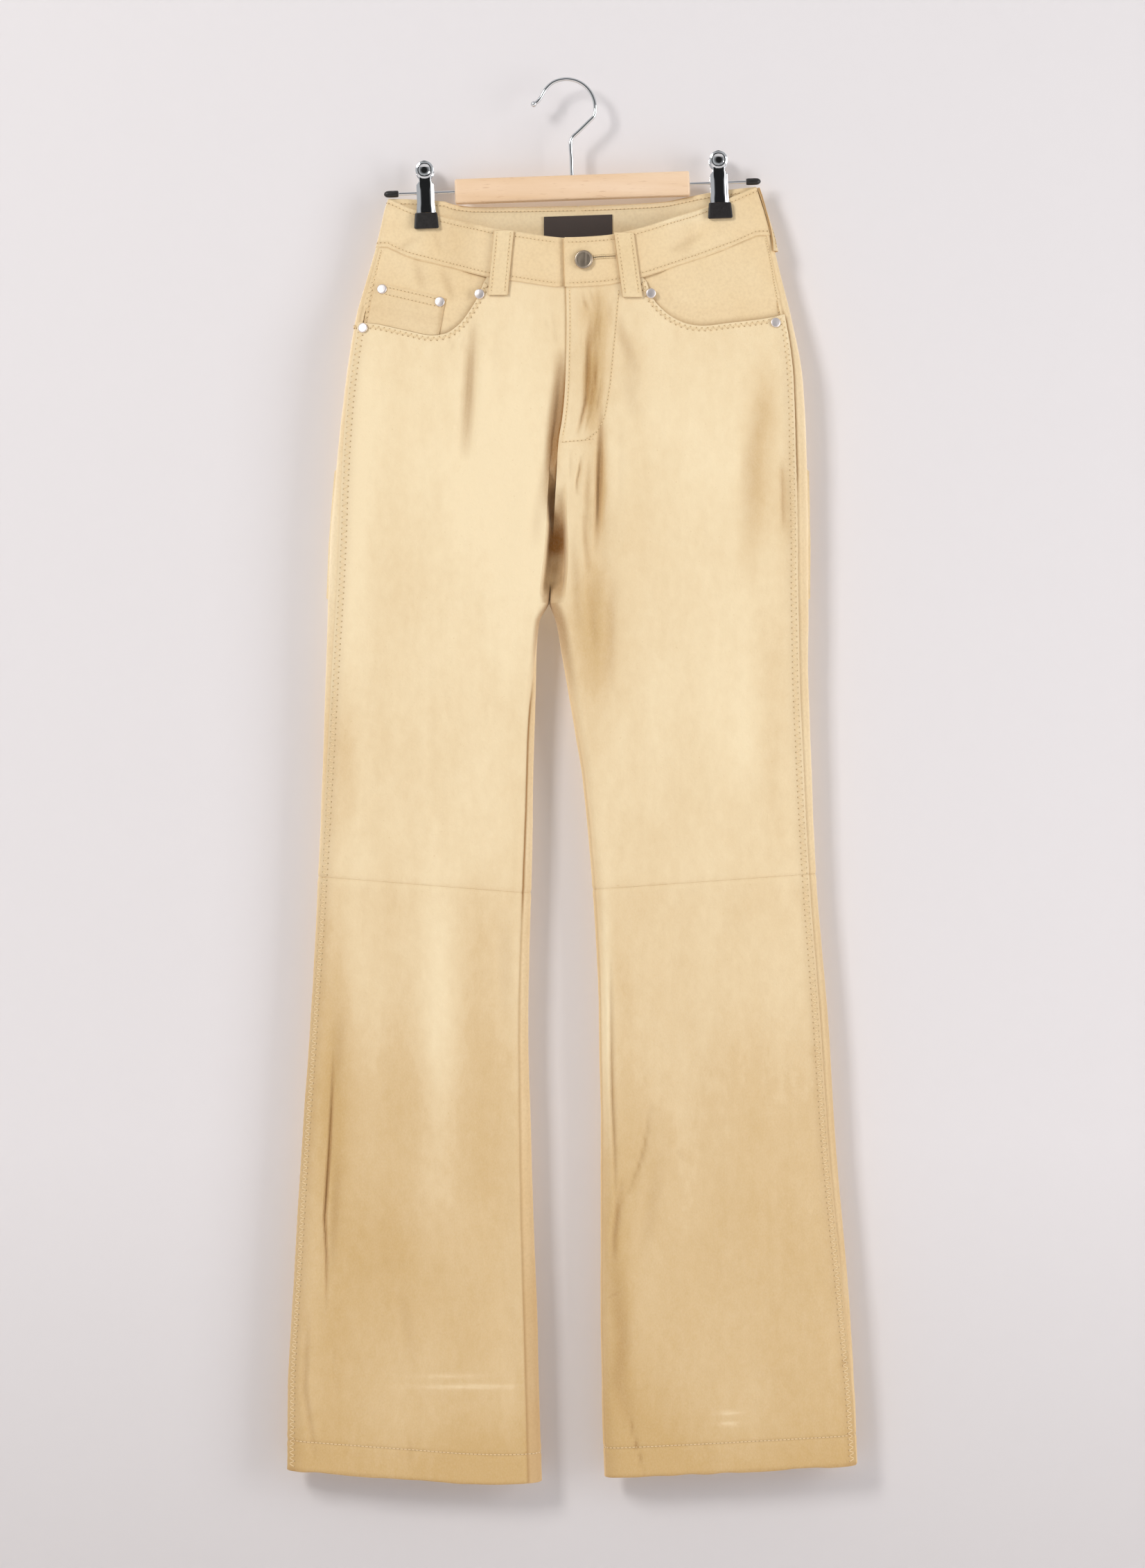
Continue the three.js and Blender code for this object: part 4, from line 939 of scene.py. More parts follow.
FRONT = front_leather()
SMOOTH = smooth_leather()
STRAP = smooth_leather("strap_leather", srgb(224, 196, 148), 0.8)
THREADS = thread()
LABEL_TAPE = woven_label()
NICKEL = brushed_nickel()
SILVER = bright_metal("bright_rivet", srgb(232, 224, 222), 0.4)
CHROME = bright_metal("polished_chrome", srgb(226, 228, 230), 0.045)
RUBBER = black_rubber()
BEECH = beech()

# Soft patches of the leather's tone: x and z, how wide and tall each is, and how much paler (or
# darker, below 0) it makes the leather. Most are its own stains and wear; some are painted shade
# in folds and hollows and some painted light, as marked below.
TONE_AND_LIGHT_PATCHES = [
    # left thigh; the pale one by the crotch is painted light, the dark one by the fly painted shade
    (-120, -330, 60, 110, 0.12), (-150, -560, 45, 120, -0.08), (-38, -400, 22, 90, 0.3),
    (-182, -380, 16, 110, 0.2), (-196, -400, 8, 90, 0.5), (-187, -580, 12, 64, -0.34),
    (-70, -640, 40, 60, 0.06), (-10, -312, 5, 24, -0.6),
    # left lower leg
    (-108, -800, 17, 110, 0.4), (-120, -872, 40, 50, -0.14), (-196, -880, 16, 130, -0.5),
    (-60, -900, 22, 120, -0.1), (-150, -1000, 60, 70, -0.14), (-158, -985, 30, 50, -0.14),
    (-70, -1100, 60, 40, 0.1), (-82, -1106, 40, 2, 0.4), (-98, -1097, 30, 2, 0.25),
    # the fly and below it: painted shade in its creases and folds, and below the crotch
    (14, -196, 6, 12, -0.2), (27, -206, 8, 24, -0.3), (34, -230, 12, 50, -0.2),
    (20, -250, 16, 60, -0.16), (20.5, -259, 4.5, 27, -0.6), (25, -262, 7, 40, -0.42),
    (58, -236, 14, 34, -0.14), (31, -342, 4, 38, -0.5), (24, -350, 9, 46, -0.26),
    (24, -466, 20, 64, -0.62),
    # right thigh; the dark ones by its outer edge are painted shade
    (120, -300, 60, 80, 0.08), (168, -284, 13, 40, -0.42), (160, -335, 11, 44, -0.36),
    (172, -350, 14, 40, -0.2), (188, -360, 8, 50, -0.3), (156, -390, 9, 36, -0.2),
    (150, -560, 24, 60, 0.2), (174, -540, 14, 100, -0.22),
    # right lower leg
    (150, -760, 40, 60, 0.14), (34, -800, 5, 100, 0.5), (62, -900, 24, 70, -0.3),
    (42, -978, 10, 60, -0.26), (190, -980, 36, 120, -0.06), (47, -1070, 12, 60, -0.26),
    (120, -1080, 60, 80, 0.06), (60, -1130, 40, 40, -0.16), (56, -1165, 12, 22, -0.24),
    (138, -1128, 10, 1.8, 0.4), (138, -1137, 9, 1.8, 0.4),
    # inside the back of the waistband: painted light, lifting the shade that the front of the band
    # casts
    (-40, -114, 50, 9, 0.6), (76, -111, 42, 11, 1.2)]
height_tone = curve(table("z tone", (-1190, -0.06), (-1165, 0.04), (-1120, 0.24), (-1000, 0.34),
                          (-900, 0.44), (-800, 0.54), (-720, 0.63), (-690, 0.66), (-670, 0.77),
                          (-450, 0.85), (-250, 0.87), (-100, 0.76)), "tone")


def tone(piece, points, soil, rim=None):
    """Stores at each point of a mesh the leather's fade, from golden to pale, with the painted
    shade and light of its patches, and its soil and painted shade. rim is that value on its cut
    edges."""
    x, z = points[..., 0].ravel(), points[..., 2].ravel()
    fade_and_light = height_tone(z)
    for at_x, at_z, wide, tall, amount in TONE_AND_LIGHT_PATCHES:
        fade_and_light = fade_and_light + amount * bell(np.hypot((x - at_x) / wide, (z - at_z) / tall), 1)
    for name, values in (("fade_and_light", fade_and_light), ("soil", np.ravel(soil))):
        layer = piece.data.attributes.new(name, "FLOAT", "POINT")
        edge = np.mean(values) if name == "fade_and_light" or rim is None else rim
        full = np.full(len(piece.data.vertices), float(edge))
        full[:len(values)] = values
        full[len(values):2 * len(values)] = values
        layer.data.foreach_set("value", full)


# ---------------------------------------------------------------- leg panels
LAP_LIFT, LAP_WIDE = 1.0, 9      # how far the front's lapped edge stands out, and over what width
CREASE_COLUMN = 1.88             # the turn beside which a front's columns are close together
SEAM_MARGIN = 0.15               # half the gap between two panels at the knee seam
INNER_SHADE = {"left": (1, 5), "right": (5, 12)}    # painted shade in a strip by the inner fold below the crotch
INSEAM_DARK = {   # how dark the line is where the front is sewn to the back along the inseam
    "left": curve(table("z soil", (-1190, 0.3), (-720, 0.4), (-680, 1), (-540, 1), (-505, 0)),
                  "soil"),
    "right": curve(table("z soil", (-1190, 0.2), (-600, 0.22), (-500, 0)), "soil")}


def front_stops(side):
    return lambda z: (inseam(side, z), 1.0, 1.2, 1 + POCKET_COLUMN[side], CREASE_COLUMN, 2.0,
                      outseam(side, z))


def back_stops(side):
    return lambda z: (outseam(side, z, -OUTSEAM_LAP), 3.0, 4.0, 5.0, 6 + inseam(side, z))


def front_soil_and_shade(side, x, z):
    """Darker leather on a front: by the outseam and at the hem, and painted shade in a line under
    the waistband's edge, in creases, beside the fly and in a strip by the inner fold below the
    crotch."""
    soil = 0.16 * bell(beyond_outseam(side, x, z) + 4, 5) * ramp(-z, 170, 260)
    # painted shade in a line under the waistband's proud edge, over its seam
    soil = soil + 0.5 * bell(z - seam_z("front")(x), 1.2)
    # painted shade in the creases
    soil = soil + 0.2 * np.clip(fine_creases(FINE_CREASES[side, "front"], x, z), 0, 2.4)
    up = z - hem_z[side](x)
    soil = soil + 0.35 * bell(up, 1.6) + 0.22 * bell(up - HEM_HEIGHT, 1)
    if side == "left":
        # painted shade in the valley beside the fly, and a thin painted shadow along the fly's edge
        beside = x - centre_x["front"](z)
        valley = ramp(-z, 236, 285) * (1 - ramp(-z, 322, 348))
        soil = soil + 0.28 * bell(beside + 3, 5.5) * valley
        soil = soil + 0.4 * bell(beside, 1.3) * ramp(z, -330, -300)
    else:
        # painted shade in the fly's main crease
        soil = soil + 0.32 * bell(x - 20.5, 3.5) * bell(z + 259, 27)
    # painted shade in a strip by the inner fold below the crotch
    inward = 1 - ramp(SIGN[side] * (x - inner_x[side](z)), *INNER_SHADE[side])
    return soil + 0.6 * inward * (z <= CROTCH_Z) * (1 - ramp(-z, 456, 540))


def back_soil_and_shade(side, turn, x, z):
    """Painted shade where a back comes round to the front: a line in the gap at the outseam,
    darkest where the right one gapes below the pocket, and darker towards the fold on the lower
    leg's strips.
    The left back is also darker near its inseam below the crotch, more towards the hem."""
    outside = beyond_outseam(side, x, z)
    gape = ramp(-z, 192, 205) * (1 - ramp(-z, 330, 360)) if side == "right" else 0
    # painted shadow in the gap beside the front's lapped edge
    line = bell(outside - 0.3 - 0.4 * gape, 1.0 + 0.5 * gape)
    # painted shade where the strip turns away towards the fold
    strip = 0.26 * ramp(outside, 1, 8) * ramp(-z, 640, 760)
    inside = 0.06 + 0.26 * ramp(-z, 880, 1120) if side == "left" else 0.0 * z
    return np.where(turn < 3, (0.26 + 0.74 * gape) * line + strip,
                    inside * ramp(turn, 4.6, 5) * (z < CROTCH_Z))


def seam_soil_and_shade(side, turn, x, z):
    """Darker leather along the knee seam and the inseam, and painted shade in the hollow between
    the thighs.
    """
    knee = np.abs(z - knee_z[side](x))
    wide = inner_round[side](z)
    # painted shade in the hollow between the thighs
    sunk = ramp(-z, 325, 356) * (z > CROTCH_Z) * (
        1 - ramp(np.abs(x - centre_x["front"](z)), wide - 5, wide))
    dark = 0.1 + 0.32 * ramp(-z, 350, 372) + 0.64 * bell(z + 390, 18) + 0.14 * ripple(x, z, 9, 71)
    sewn_in = INSEAM_DARK[side](z) * bell(beside_inseam(side, x, z), 0.9)
    return 0.07 * bell(knee, 1) + sewn_in * (np.abs(turn - 3) > 1.2) \
        + np.where(turn < 2, dark * sunk, 0)


def front_lift(side, x, z):
    """How far a front stands out: where it is lapped over the back, and at the pocket's mouth."""
    pocket = SIGN[side] * (x - POCKET_CORNER[side]) > 0
    mouth = 0.35 * (1 - ramp(front_top(side)(x) - z, 0, 8))
    return LAP_LIFT * (1 - ramp(-beyond_outseam(side, x, z), 0, LAP_WIDE)) \
        + np.where(pocket, mouth, 0)


def panel(name, side, columns, lines, rows):
    """A leg panel: a grid between its lines, lifted where its edge is lapped, with a thicker wall
    at the turned-up hem."""
    is_front = name.startswith("front")
    stops = front_stops(side) if is_front else back_stops(side)
    turn, z = panel_grid(side, stops, columns, lines, rows)
    x = surface(side, turn, z)[..., 0]
    if is_front:
        look, slot = FRONT, "front_leather"
        lift, soil = front_lift(side, x, z), front_soil_and_shade(side, x, z)
    else:
        look, slot = SMOOTH, "smooth_leather"
        seam = 1 - ramp(beyond_outseam(side, x, z), 0, 4.5)
        lift, soil = np.where(turn < 3, -0.8 * seam, 0), back_soil_and_shade(side, turn, x, z)
    outer, n = skin(side, turn, z, lift)
    soil = np.clip(soil + seam_soil_and_shade(side, turn, x, z), 0, 1)
    hemmed = z < hem_z[side](x) + HEM_HEIGHT
    inner = outer - n * np.where(hemmed, HEM_WALL, LEATHER)[..., None]
    if name == "front_upper_right":
        outer, inner = turned_under(outer, inner)
        soil = np.concatenate([np.repeat(soil[:, :1], 4, axis=1), soil], axis=1)
    piece = shell(name + "_leather", outer, inner, look, side == "left")
    tone(piece, outer, soil)
    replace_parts(piece, name)


def turned_under(outer, inner):
    """Adds four columns before the right front's first, where its edge turns in towards the left
    front and reaches it, above the crotch."""
    z = outer[:, 0, 2]
    left = surface("left", np.zeros(z.shape), z)[:, 1]
    deep = np.where(z > CROTCH_Z + 2, np.maximum(left - outer[:, 0, 1] + 1.0, 2.0), 0.4)
    share = np.array([1.0, 0.6, 0.3, 0.1])[None, :, None]
    way = np.stack([0 * z, deep, 0 * z], axis=1)[:, None] * share
    corner = inner.copy()
    corner[:, 0] = outer[:, 0] + (0.85 * LEATHER, 0.85 * LEATHER, 0)
    under = outer[:, :1] + way
    thick = under + np.array((LEATHER, 0.0, 0.0)) + (0, 1, 0) * np.maximum(
        LEATHER - way[..., 1:2], 0)
    return np.concatenate([under, outer], axis=1), np.concatenate([thick, corner], axis=1)


def leg(side):
    """The four panels of one side. Each has its columns between stops, its lines from the top down
    and its rows between lines."""
    above = lambda x: knee_z[side](x) + SEAM_MARGIN
    below = lambda x: knee_z[side](x) - SEAM_MARGIN
    hem_line = lambda x: hem_z[side](x) + HEM_HEIGHT
    ragged = lambda x: hem_z[side](x) + 0.7 * ripple(x, 0 * x, 15, 81)
    columns = (12, 26, 16, 28, 7, 9) if side == "left" else (12, 40, 14, 26, 7, 9)
    panel(f"front_upper_{side}", side, columns, [front_top(side), HIP_Z, CROTCH_Z, above],
          (34, 150, 110))
    panel(f"back_upper_{side}", side, (16, 12, 44, 16), [seam_z("back"), HIP_Z, CROTCH_Z, above],
          (36, 80, 90))
    panel(f"front_lower_{side}", side, (14, 12, 12, 24, 16, 10), [below, hem_line, ragged],
          (230, 14))
    panel(f"back_lower_{side}", side, (14, 12, 34, 18), [below, hem_line, ragged], (180, 14))


for side in SIDES:
    leg(side)

# ---------------------------------------------------------------- waistband
UNDERLAP = (1.16, 1.08, 1.0, 0.55, 0.12)    # turns on the right side, under the right half
TUCKED = BAND_PROUD - BAND_WALL - 0.5        # how far out the underlap lies
STITCH_DOWN = 3.2                            # from an edge to its row of stitches
BAND_PRESSED = 0.28                          # how deep a row is pressed in


def band_line(side, turn, below):
    """The height where each column of the waistband is a distance below its upper edge."""
    z = np.full(np.shape(turn), -120.0)
    for _ in range(14):
        x = surface(side, turn, z)[..., 0]
        edge = np.where(turn > 3, edge_z["back"](x), edge_z["front"](x))
        z = lerp(z, edge - below, 0.7)
    return z


def band_wave(p):
    """The waistband's unevenness: a soft wave, creases, and puckers that run out from the clips."""
    x, z = p[..., 0], p[..., 2]
    height = 0.4 * ripple(x, z / 1.4, 17, 31) + 0.14 * ripple(x, z, 6, 32)
    for clip in PINCH_X:
        away, angle = np.hypot(x - clip, z + 114), np.arctan2(x - clip, -114 - z)
        height = height + 0.7 * np.cos(4.4 * angle + 0.6) * bell(away - 26, 13)
    outside = (p[..., 1] < 0) & (np.abs(x) > 30)
    return height - np.where(outside, fine_creases(BAND_CREASES, x, z), 0)


def band_patch(side, turns, lift, rows=26):
    """Outer points and normals of a stretch of waistband, with its two sewn rows pressed in."""
    down = np.linspace(0, BAND_HEIGHT - 0.1, rows)[:, None]
    top, foot = band_line(side, turns, 0), band_line(side, turns, BAND_HEIGHT)
    z = lerp(top, foot, down / BAND_HEIGHT)
    p, n = bare(side, np.broadcast_to(turns, z.shape), z)
    pressed = bell(down - STITCH_DOWN, 1.3) + bell(BAND_HEIGHT - down - STITCH_DOWN, 1.3)
    height = lift + band_wave(p) - BAND_PRESSED * pressed
    return p + n * height[..., None], n


def waistband(side):
    turns = sum(ways((6, 60, 14, 10, 44, 6)))
    proud = np.full(turns.shape, BAND_PROUD)
    if side == "left":
        proud = lerp(TUCKED, BAND_PROUD, ramp(turns, 0, 1))
    outer, n = band_patch(side, turns, proud)
    if side == "left":
        tucks = np.interp(np.linspace(0, 4, 17), np.arange(5), UNDERLAP)
        under, under_n = band_patch("right", tucks, TUCKED)
        outer = np.concatenate([under, outer], axis=1)
        n = np.concatenate([under_n, n], axis=1)
    inner = outer - n * BAND_WALL
    piece = shell(f"waistband_{side}_leather", outer, inner, SMOOTH,
                  side == "left", 0.45)
    down = np.linspace(0, BAND_HEIGHT, outer.shape[0])[:, None]
    # darker along the two sewn rows, and painted shade in the band's creases
    soil = 0.08 * bell(down - STITCH_DOWN, 2) + 0.08 * bell(BAND_HEIGHT - down - STITCH_DOWN, 2)
    outside = (outer[..., 1] < 0) & (np.abs(outer[..., 0]) > 30)
    creased = np.clip(fine_creases(BAND_CREASES, outer[..., 0], outer[..., 2]), 0, 2)
    tone(piece, outer, soil + 0.2 * np.where(outside, creased, 0))
    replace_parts(piece, f"waistband_{side}")


for side in SIDES:
    waistband(side)

# ---------------------------------------------------------------- pockets
FACING_SUNK = -(LEATHER + 1.5)


def facing_lift(side, x, z):
    """Level with the waistband's seam, and under the front at the pocket's mouth."""
    above = ramp(z - front_top(side)(x), 7, 20)
    away = ramp(np.abs(x), abs(POCKET_CORNER[side]) + 9, abs(POCKET_CORNER[side]) + 26)
    return lerp(FACING_SUNK, -0.1, above * away)


def pocket_facing(side):
    start = 1 + POCKET_COLUMN[side] - 0.05
    stops = lambda z: (np.full(np.shape(z), start), 2.0, outseam(side, z, 0.6))
    lines = [lambda x: seam_z("front")(x) - 0.1, lambda x: front_top(side)(x) - 8.5]
    turn, z = panel_grid(side, stops, (48, 10), lines, (36,))
    x = surface(side, turn, z)[..., 0]
    outer, n = skin(side, turn, z, facing_lift(side, x, z))
    edge = z - front_top(side)(x)
    piece = shell(f"pocket_facing_{side}_leather", outer, outer - n * LEATHER, SMOOTH,
                  side == "left")
    creased = np.clip(fine_creases(FINE_CREASES[side, "front"], x, z), 0, 2)
    # painted shadow under the front's edge at the mouth, painted shade in creases and at the band's
    # seam
    tone(piece, outer, 0.3 * (1 - ramp(edge, 0, 7)) + 0.2 * creased
         + 0.5 * bell(z - seam_z("front")(x), 1.2))
    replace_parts(piece, f"pocket_facing_{side}")


for side in SIDES:
    pocket_facing(side)

COIN_TOP = ((-101, -186.6), (-168, -170))
COIN_FOOT_X = -107
COIN_WALL = 1.1


def coin_top(x):
    (x0, z0), (x1, z1) = COIN_TOP
    return lerp(z0, z1, (x - x0) / (x1 - x0))


def on_facing(x, z, lift):
    turn = turn_at("left", x, z)
    return skin("left", turn, z, facing_lift("left", x, z) + lift)


def coin_pocket():
    """A slanted patch on the left facing, from its top edge to the pocket's mouth."""
    down = np.linspace(0, 1, 26)[:, None]
    across = np.linspace(0, 1, 40)[None]
    edge = lerp(COIN_TOP[0][0], COIN_FOOT_X, down)
    x = lerp(edge, lerp(COIN_TOP[1][0] + 8, COIN_TOP[1][0], down), across)
    z = lerp(coin_top(x), pocket_z["left"](x) + 0.9, down)
    outer, n = on_facing(x, z, 0.25 + COIN_WALL)
    piece = shell("coin_pocket_leather", outer, outer - n * COIN_WALL, SMOOTH,
                  True, 0.2)
    tone(piece, outer, 0.07 + 0.3 * bell(across * 60, 3) + 0 * down)
    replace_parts(piece, "coin_pocket")


coin_pocket()

# ---------------------------------------------------------------- belt loops and label
LOOPS = [("belt_loop_front_left", "left", "front", -51.5, -57),
         ("belt_loop_front_right", "right", "front", 49, 56.5),
         ("belt_loop_side_left", "left", "back", -138, -148),
         ("belt_loop_side_right", "right", "back", 155, 176.5),
         ("belt_loop_back", "right", "back", 20.5, 20.5)]    # side, face, x at its top and foot
LOOP_INSET, LOOP_PRESSED = 2.6, 0.3          # from an edge to its row, and how deep that is


def slide(side, middle, z, offsets):
    """The turns at distances along a section from its middle turn, one row for each height."""
    turns = np.linspace(0, 6, 1801)
    found = []
    for start, height in zip(middle, z):
        run = run_along(surface(side, turns, np.full(turns.shape, height)))
        found.append(np.interp(np.interp(start, turns, run) + offsets, run, turns))
    return np.array(found)


def belt_loop(name, side, face, top_x, foot_x):
    """A flat strap from the waistband's edge to below its seam, sewn along both raw edges."""
    high = float(edge_z[face](top_x))
    down = np.linspace(0, 1, 40)
    z = high - down * LOOP_LENGTH
    middle = turn_at(side, lerp(top_x, foot_x, down), z, face)
    offsets = np.linspace(-0.5, 0.5, 14) * LOOP_WIDTH
    turn = slide(side, middle, z, offsets)
    z = np.broadcast_to(z[:, None], turn.shape)
    p, n = bare(side, turn, z)
    level = BAND_PROUD + 0.35 + LOOP_WALL + (0 if face == "front" else 0.15)
    edge = np.minimum(offsets - offsets[0], offsets[-1] - offsets)
    height = level - LOOP_PRESSED * bell(edge - LOOP_INSET, 1.0) \
        + 0.16 * ripple(p[..., 0], z, 7, 51)
    outer = p + n * height[..., None]
    piece = shell(name + "_leather", outer, outer - n * (LOOP_WALL - 0.1), STRAP,
                  side == "left", 0.1)
    # darker along the edges and on the cut edges: the raw edges' own colour with painted shade
    # beside them
    tone(piece, outer, np.broadcast_to(0.12 * bell(edge, 1.5), outer.shape[:2]), 1.0)
    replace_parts(piece, name)
    rows = []
    for inset in (LOOP_INSET, LOOP_WIDTH - LOOP_INSET):
        line_turn = slide(side, middle, z[:, 0], np.array([offsets[0] + inset]))[:, 0]
        p, n = bare(side, line_turn, z[:, 0])
        rows.append(row_of_stitches((p + n * (level - LOOP_PRESSED))[1:-1], n[1:-1]))
    sewn(name + "_stitches", *rows)


for row in LOOPS:
    belt_loop(*row)

LABEL_TOP, LABEL_WIDTH, LABEL_HEIGHT, LABEL_RISE = -113.5, 58, 28, 2


def label():
    """A bare woven tape sewn inside the back of the waistband."""
    down = np.linspace(0, 1, 14)[:, None]
    across = np.linspace(-0.5, 0.5, 30)[None]
    x = centre_x["back"](LABEL_TOP) + across * LABEL_WIDTH + 0 * down
    z = LABEL_TOP + across * LABEL_RISE - down * LABEL_HEIGHT
    left = x < centre_x["back"](z)
    p = np.where(left[..., None], surface("left", turn_at("left", x, z, "back"), z),
                 surface("right", turn_at("right", x, z, "back"), z))
    n = np.broadcast_to((0.0, 1.0, 0.0), p.shape)
    outer = p + n * (BAND_PROUD - BAND_WALL - 0.35 - 0.15 * ripple(x, z, 12, 61))[..., None]
    piece = shell("label_tape", outer, outer - n * 0.9, LABEL_TAPE, True, 0.1)
    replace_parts(piece, "label")


label()

# ---------------------------------------------------------------- seams sewn on the garment
# rows round the fly, as points of x and z
FLY_CURVE = [(45, -179), (41.5, -220), (37.6, -260), (33, -287), (26, -300), (15, -306.5)]
FLY_ROW = [(float(centre_x["front"](z)) + FLY_SEWN, z) for z in range(-179, -306, -9)]
FLY_FOOT = [(-3, -307.6), (12, -306.5), (24, -305)]


def outseam_zigzag(side):
    """Zigzag along the lapped edge of the fronts, from the waistband to the hem."""
    x_at = lambda z: outer_x[side](z) - SIGN[side] * outer_seam[side](z)
    z = np.linspace(float(seam_z("front")(x_at(-140.0))) - 3, float(hem_z[side](x_at(-1180.0))) + 2,
                    900)
    lines = []
    for inset in (-1.6, -6.0):
        turn = outseam(side, z, inset)
        x = surface(side, turn, z)[..., 0]
        lapped = LAP_LIFT * (1 - ramp(-beyond_outseam(side, x, z), 0, LAP_WIDE))
        lift = np.where(z < front_top(side)(x), lapped, facing_lift(side, x, z))
        lines.append(skin(side, turn, z, lift))
    sewn(f"outseam_zigzag_{side}", zigzag(*lines))


def offset_line(x, z, distance):
    """A line beside another in the x, z plane, distance to the right of its direction."""
    dx, dz = np.gradient(x), np.gradient(z)
    size = np.hypot(dx, dz)
    return x + dz / size * distance, z - dx / size * distance


def pocket_zigzag(side):
    """Zigzag along the pocket's mouth, on the front, 1 to 4 mm from its edge."""
    start, end = sorted((POCKET_CORNER[side] + SIGN[side], SIGN[side] * 181))
    x = np.linspace(start, end, 1200)
    z = pocket_z[side](x)
    lines = []
    for distance in (1.2, 4.4):
        lx, lz = offset_line(x, z, distance)
        lines.append(skin(side, turn_at(side, lx, lz), lz, 0.3))
    sewn(f"pocket_zigzag_{side}", zigzag(*lines))


def band_stitches(side):
    """Rows along the waistband's two edges, outside all round and inside across the back."""
    start = 1.0 if side == "left" else 0.35
    rows = []
    for below in (STITCH_DOWN, BAND_HEIGHT - STITCH_DOWN):
        for turns, wall, way in ((np.linspace(start, 5.95, 700), 0, 1),
                                 (np.linspace(3.4, 5.95, 500), BAND_WALL, -1)):
            p, n = bare(side, turns, band_line(side, turns, below))
            level = BAND_PROUD - BAND_PRESSED - wall + band_wave(p)
            rows.append(row_of_stitches(p + n * level[:, None], way * n))
    sewn(f"waistband_stitches_{side}", *rows)


def hem_stitches(side):
    """One row all round the hem, at the upper edge of its turning."""
    turns = np.linspace(0.02, 5.98, 900)
    z = np.full(turns.shape, -1160.0)
    for _ in range(10):
        z = lerp(z, hem_z[side](surface(side, turns, z)[..., 0]) + HEM_HEIGHT, 0.7)
    p, n = skin(side, turns, z, 0.0)
    sewn(f"hem_stitches_{side}", row_of_stitches(p, n))


def fly_stitches():
    """Rows along the fly's curve, its edge and its foot, each smoothed between its points."""
    smooth = np.hanning(31) / np.hanning(31).sum()
    rows = []
    for route in (FLY_CURVE, FLY_ROW, FLY_FOOT):
        points = np.array(route, float)
        run = run_along(points)
        line = taken(points, run, np.linspace(0, run[-1], 260))
        x, z = (np.convolve(np.pad(v, 15, mode="edge"), smooth, mode="valid") for v in line.T)
        rows.append(row_of_stitches(*skin("right", turn_at("right", x, z), z)))
    sewn("fly_stitches", *rows)


def coin_stitches():
    rows = []
    for below in (2.2, 8.4):
        x = np.linspace(COIN_TOP[0][0] - 3, COIN_TOP[1][0] + 12, 300)
        rows.append(row_of_stitches(*on_facing(x, coin_top(x) - below, 0.25 + COIN_WALL)))
    sewn("coin_pocket_stitches", *rows)


for side in SIDES:
    outseam_zigzag(side)
    pocket_zigzag(side)
    band_stitches(side)
    hem_stitches(side)
coin_stitches()
fly_stitches()

# ---------------------------------------------------------------- button and rivets
BUTTON_X, BUTTON_Z = 15.3, -154.6


def on_front(side, x, z, lift):
    """A point and its normal on a front, lift millimetres out."""
    p, n = bare(side, turn_at(side, x, z), z)
    return p + n * np.asarray(lift)[..., None], n


def button():
    """A pressed disc: a rolled rim round a shallow dished face."""
    centre, axis = on_front("right", BUTTON_X, BUTTON_Z, BAND_PROUD + 0.3)
    profile = [(0, 0), (6.4, 0), (7.7, 0.7), (8.0, 1.6), (7.7, 2.6), (6.9, 3.1), (6.2, 2.9),
               (5.6, 2.75), (3.0, 2.95), (0, 3.1)]
    points, faces = lathe(smooth_profile(profile), 64, centre, axis)
    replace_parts(new_mesh("button_disc", points, faces, NICKEL, 60), "button")


def buttonhole():
    """A worked slit beside the button: a dark cut between two rows of close stitches."""
    x = np.linspace(BUTTON_X + 8.3, BUTTON_X + 27, 60)
    z = BUTTON_Z + 1.4 + 0.07 * (x - BUTTON_X)
    level = lambda away: BAND_PROUD + band_wave(np.stack([x, 0 * x - 20, z + away], axis=-1))
    centre, n = on_front("right", x, z, level(0.0))
    points, faces = tube(centre, np.linspace(0.42, 0.12, len(x)), 8)
    new_mesh("buttonhole_slit", points, faces, RUBBER)
    rows = []
    for away in (-1.0, 1.0):
        row, _ = on_front("right", x, z + away, level(away))
        p, _, up = spaced(row, n, 0.9)
        direction = np.broadcast_to((0.0, 0.0, 1.0), p.shape)
        rows.append(stitched(p, direction, up, 1.7))
    sewn("buttonhole_stitches", *rows)


RIVETS = [("rivet_mouth_left", "left", -72.6, -183, False),
          ("rivet_side_left", "left", -171, -211, False),
          ("rivet_coin_inner", "left", -106, -189.5, True),
          ("rivet_coin_outer", "left", -155, -178, True),
          ("rivet_mouth_right", "right", 72, -182.5, False),
          ("rivet_side_right", "right", 177.5, -206.5, False)]    # side, x, z, on the coin pocket
RIVET_PROFILE = [(0, 0), (4.1, 0), (4.25, 0.5), (4.05, 1.0), (3.4, 1.3), (2.0, 1.45), (1.0, 1.55),
                 (0, 1.6)]


def rivet(name, side, x, z, on_coin):
    level = facing_lift(side, x, z) + 0.25 + COIN_WALL if on_coin else 0.6
    centre, axis = on_front(side, x, z, float(level) + 0.15)
    points, faces = lathe(smooth_profile(RIVET_PROFILE), 40, centre, axis)
    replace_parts(new_mesh(name + "_cap", points, faces, SILVER, 60), name)


button()
buttonhole()
for row in RIVETS:
    rivet(*row)

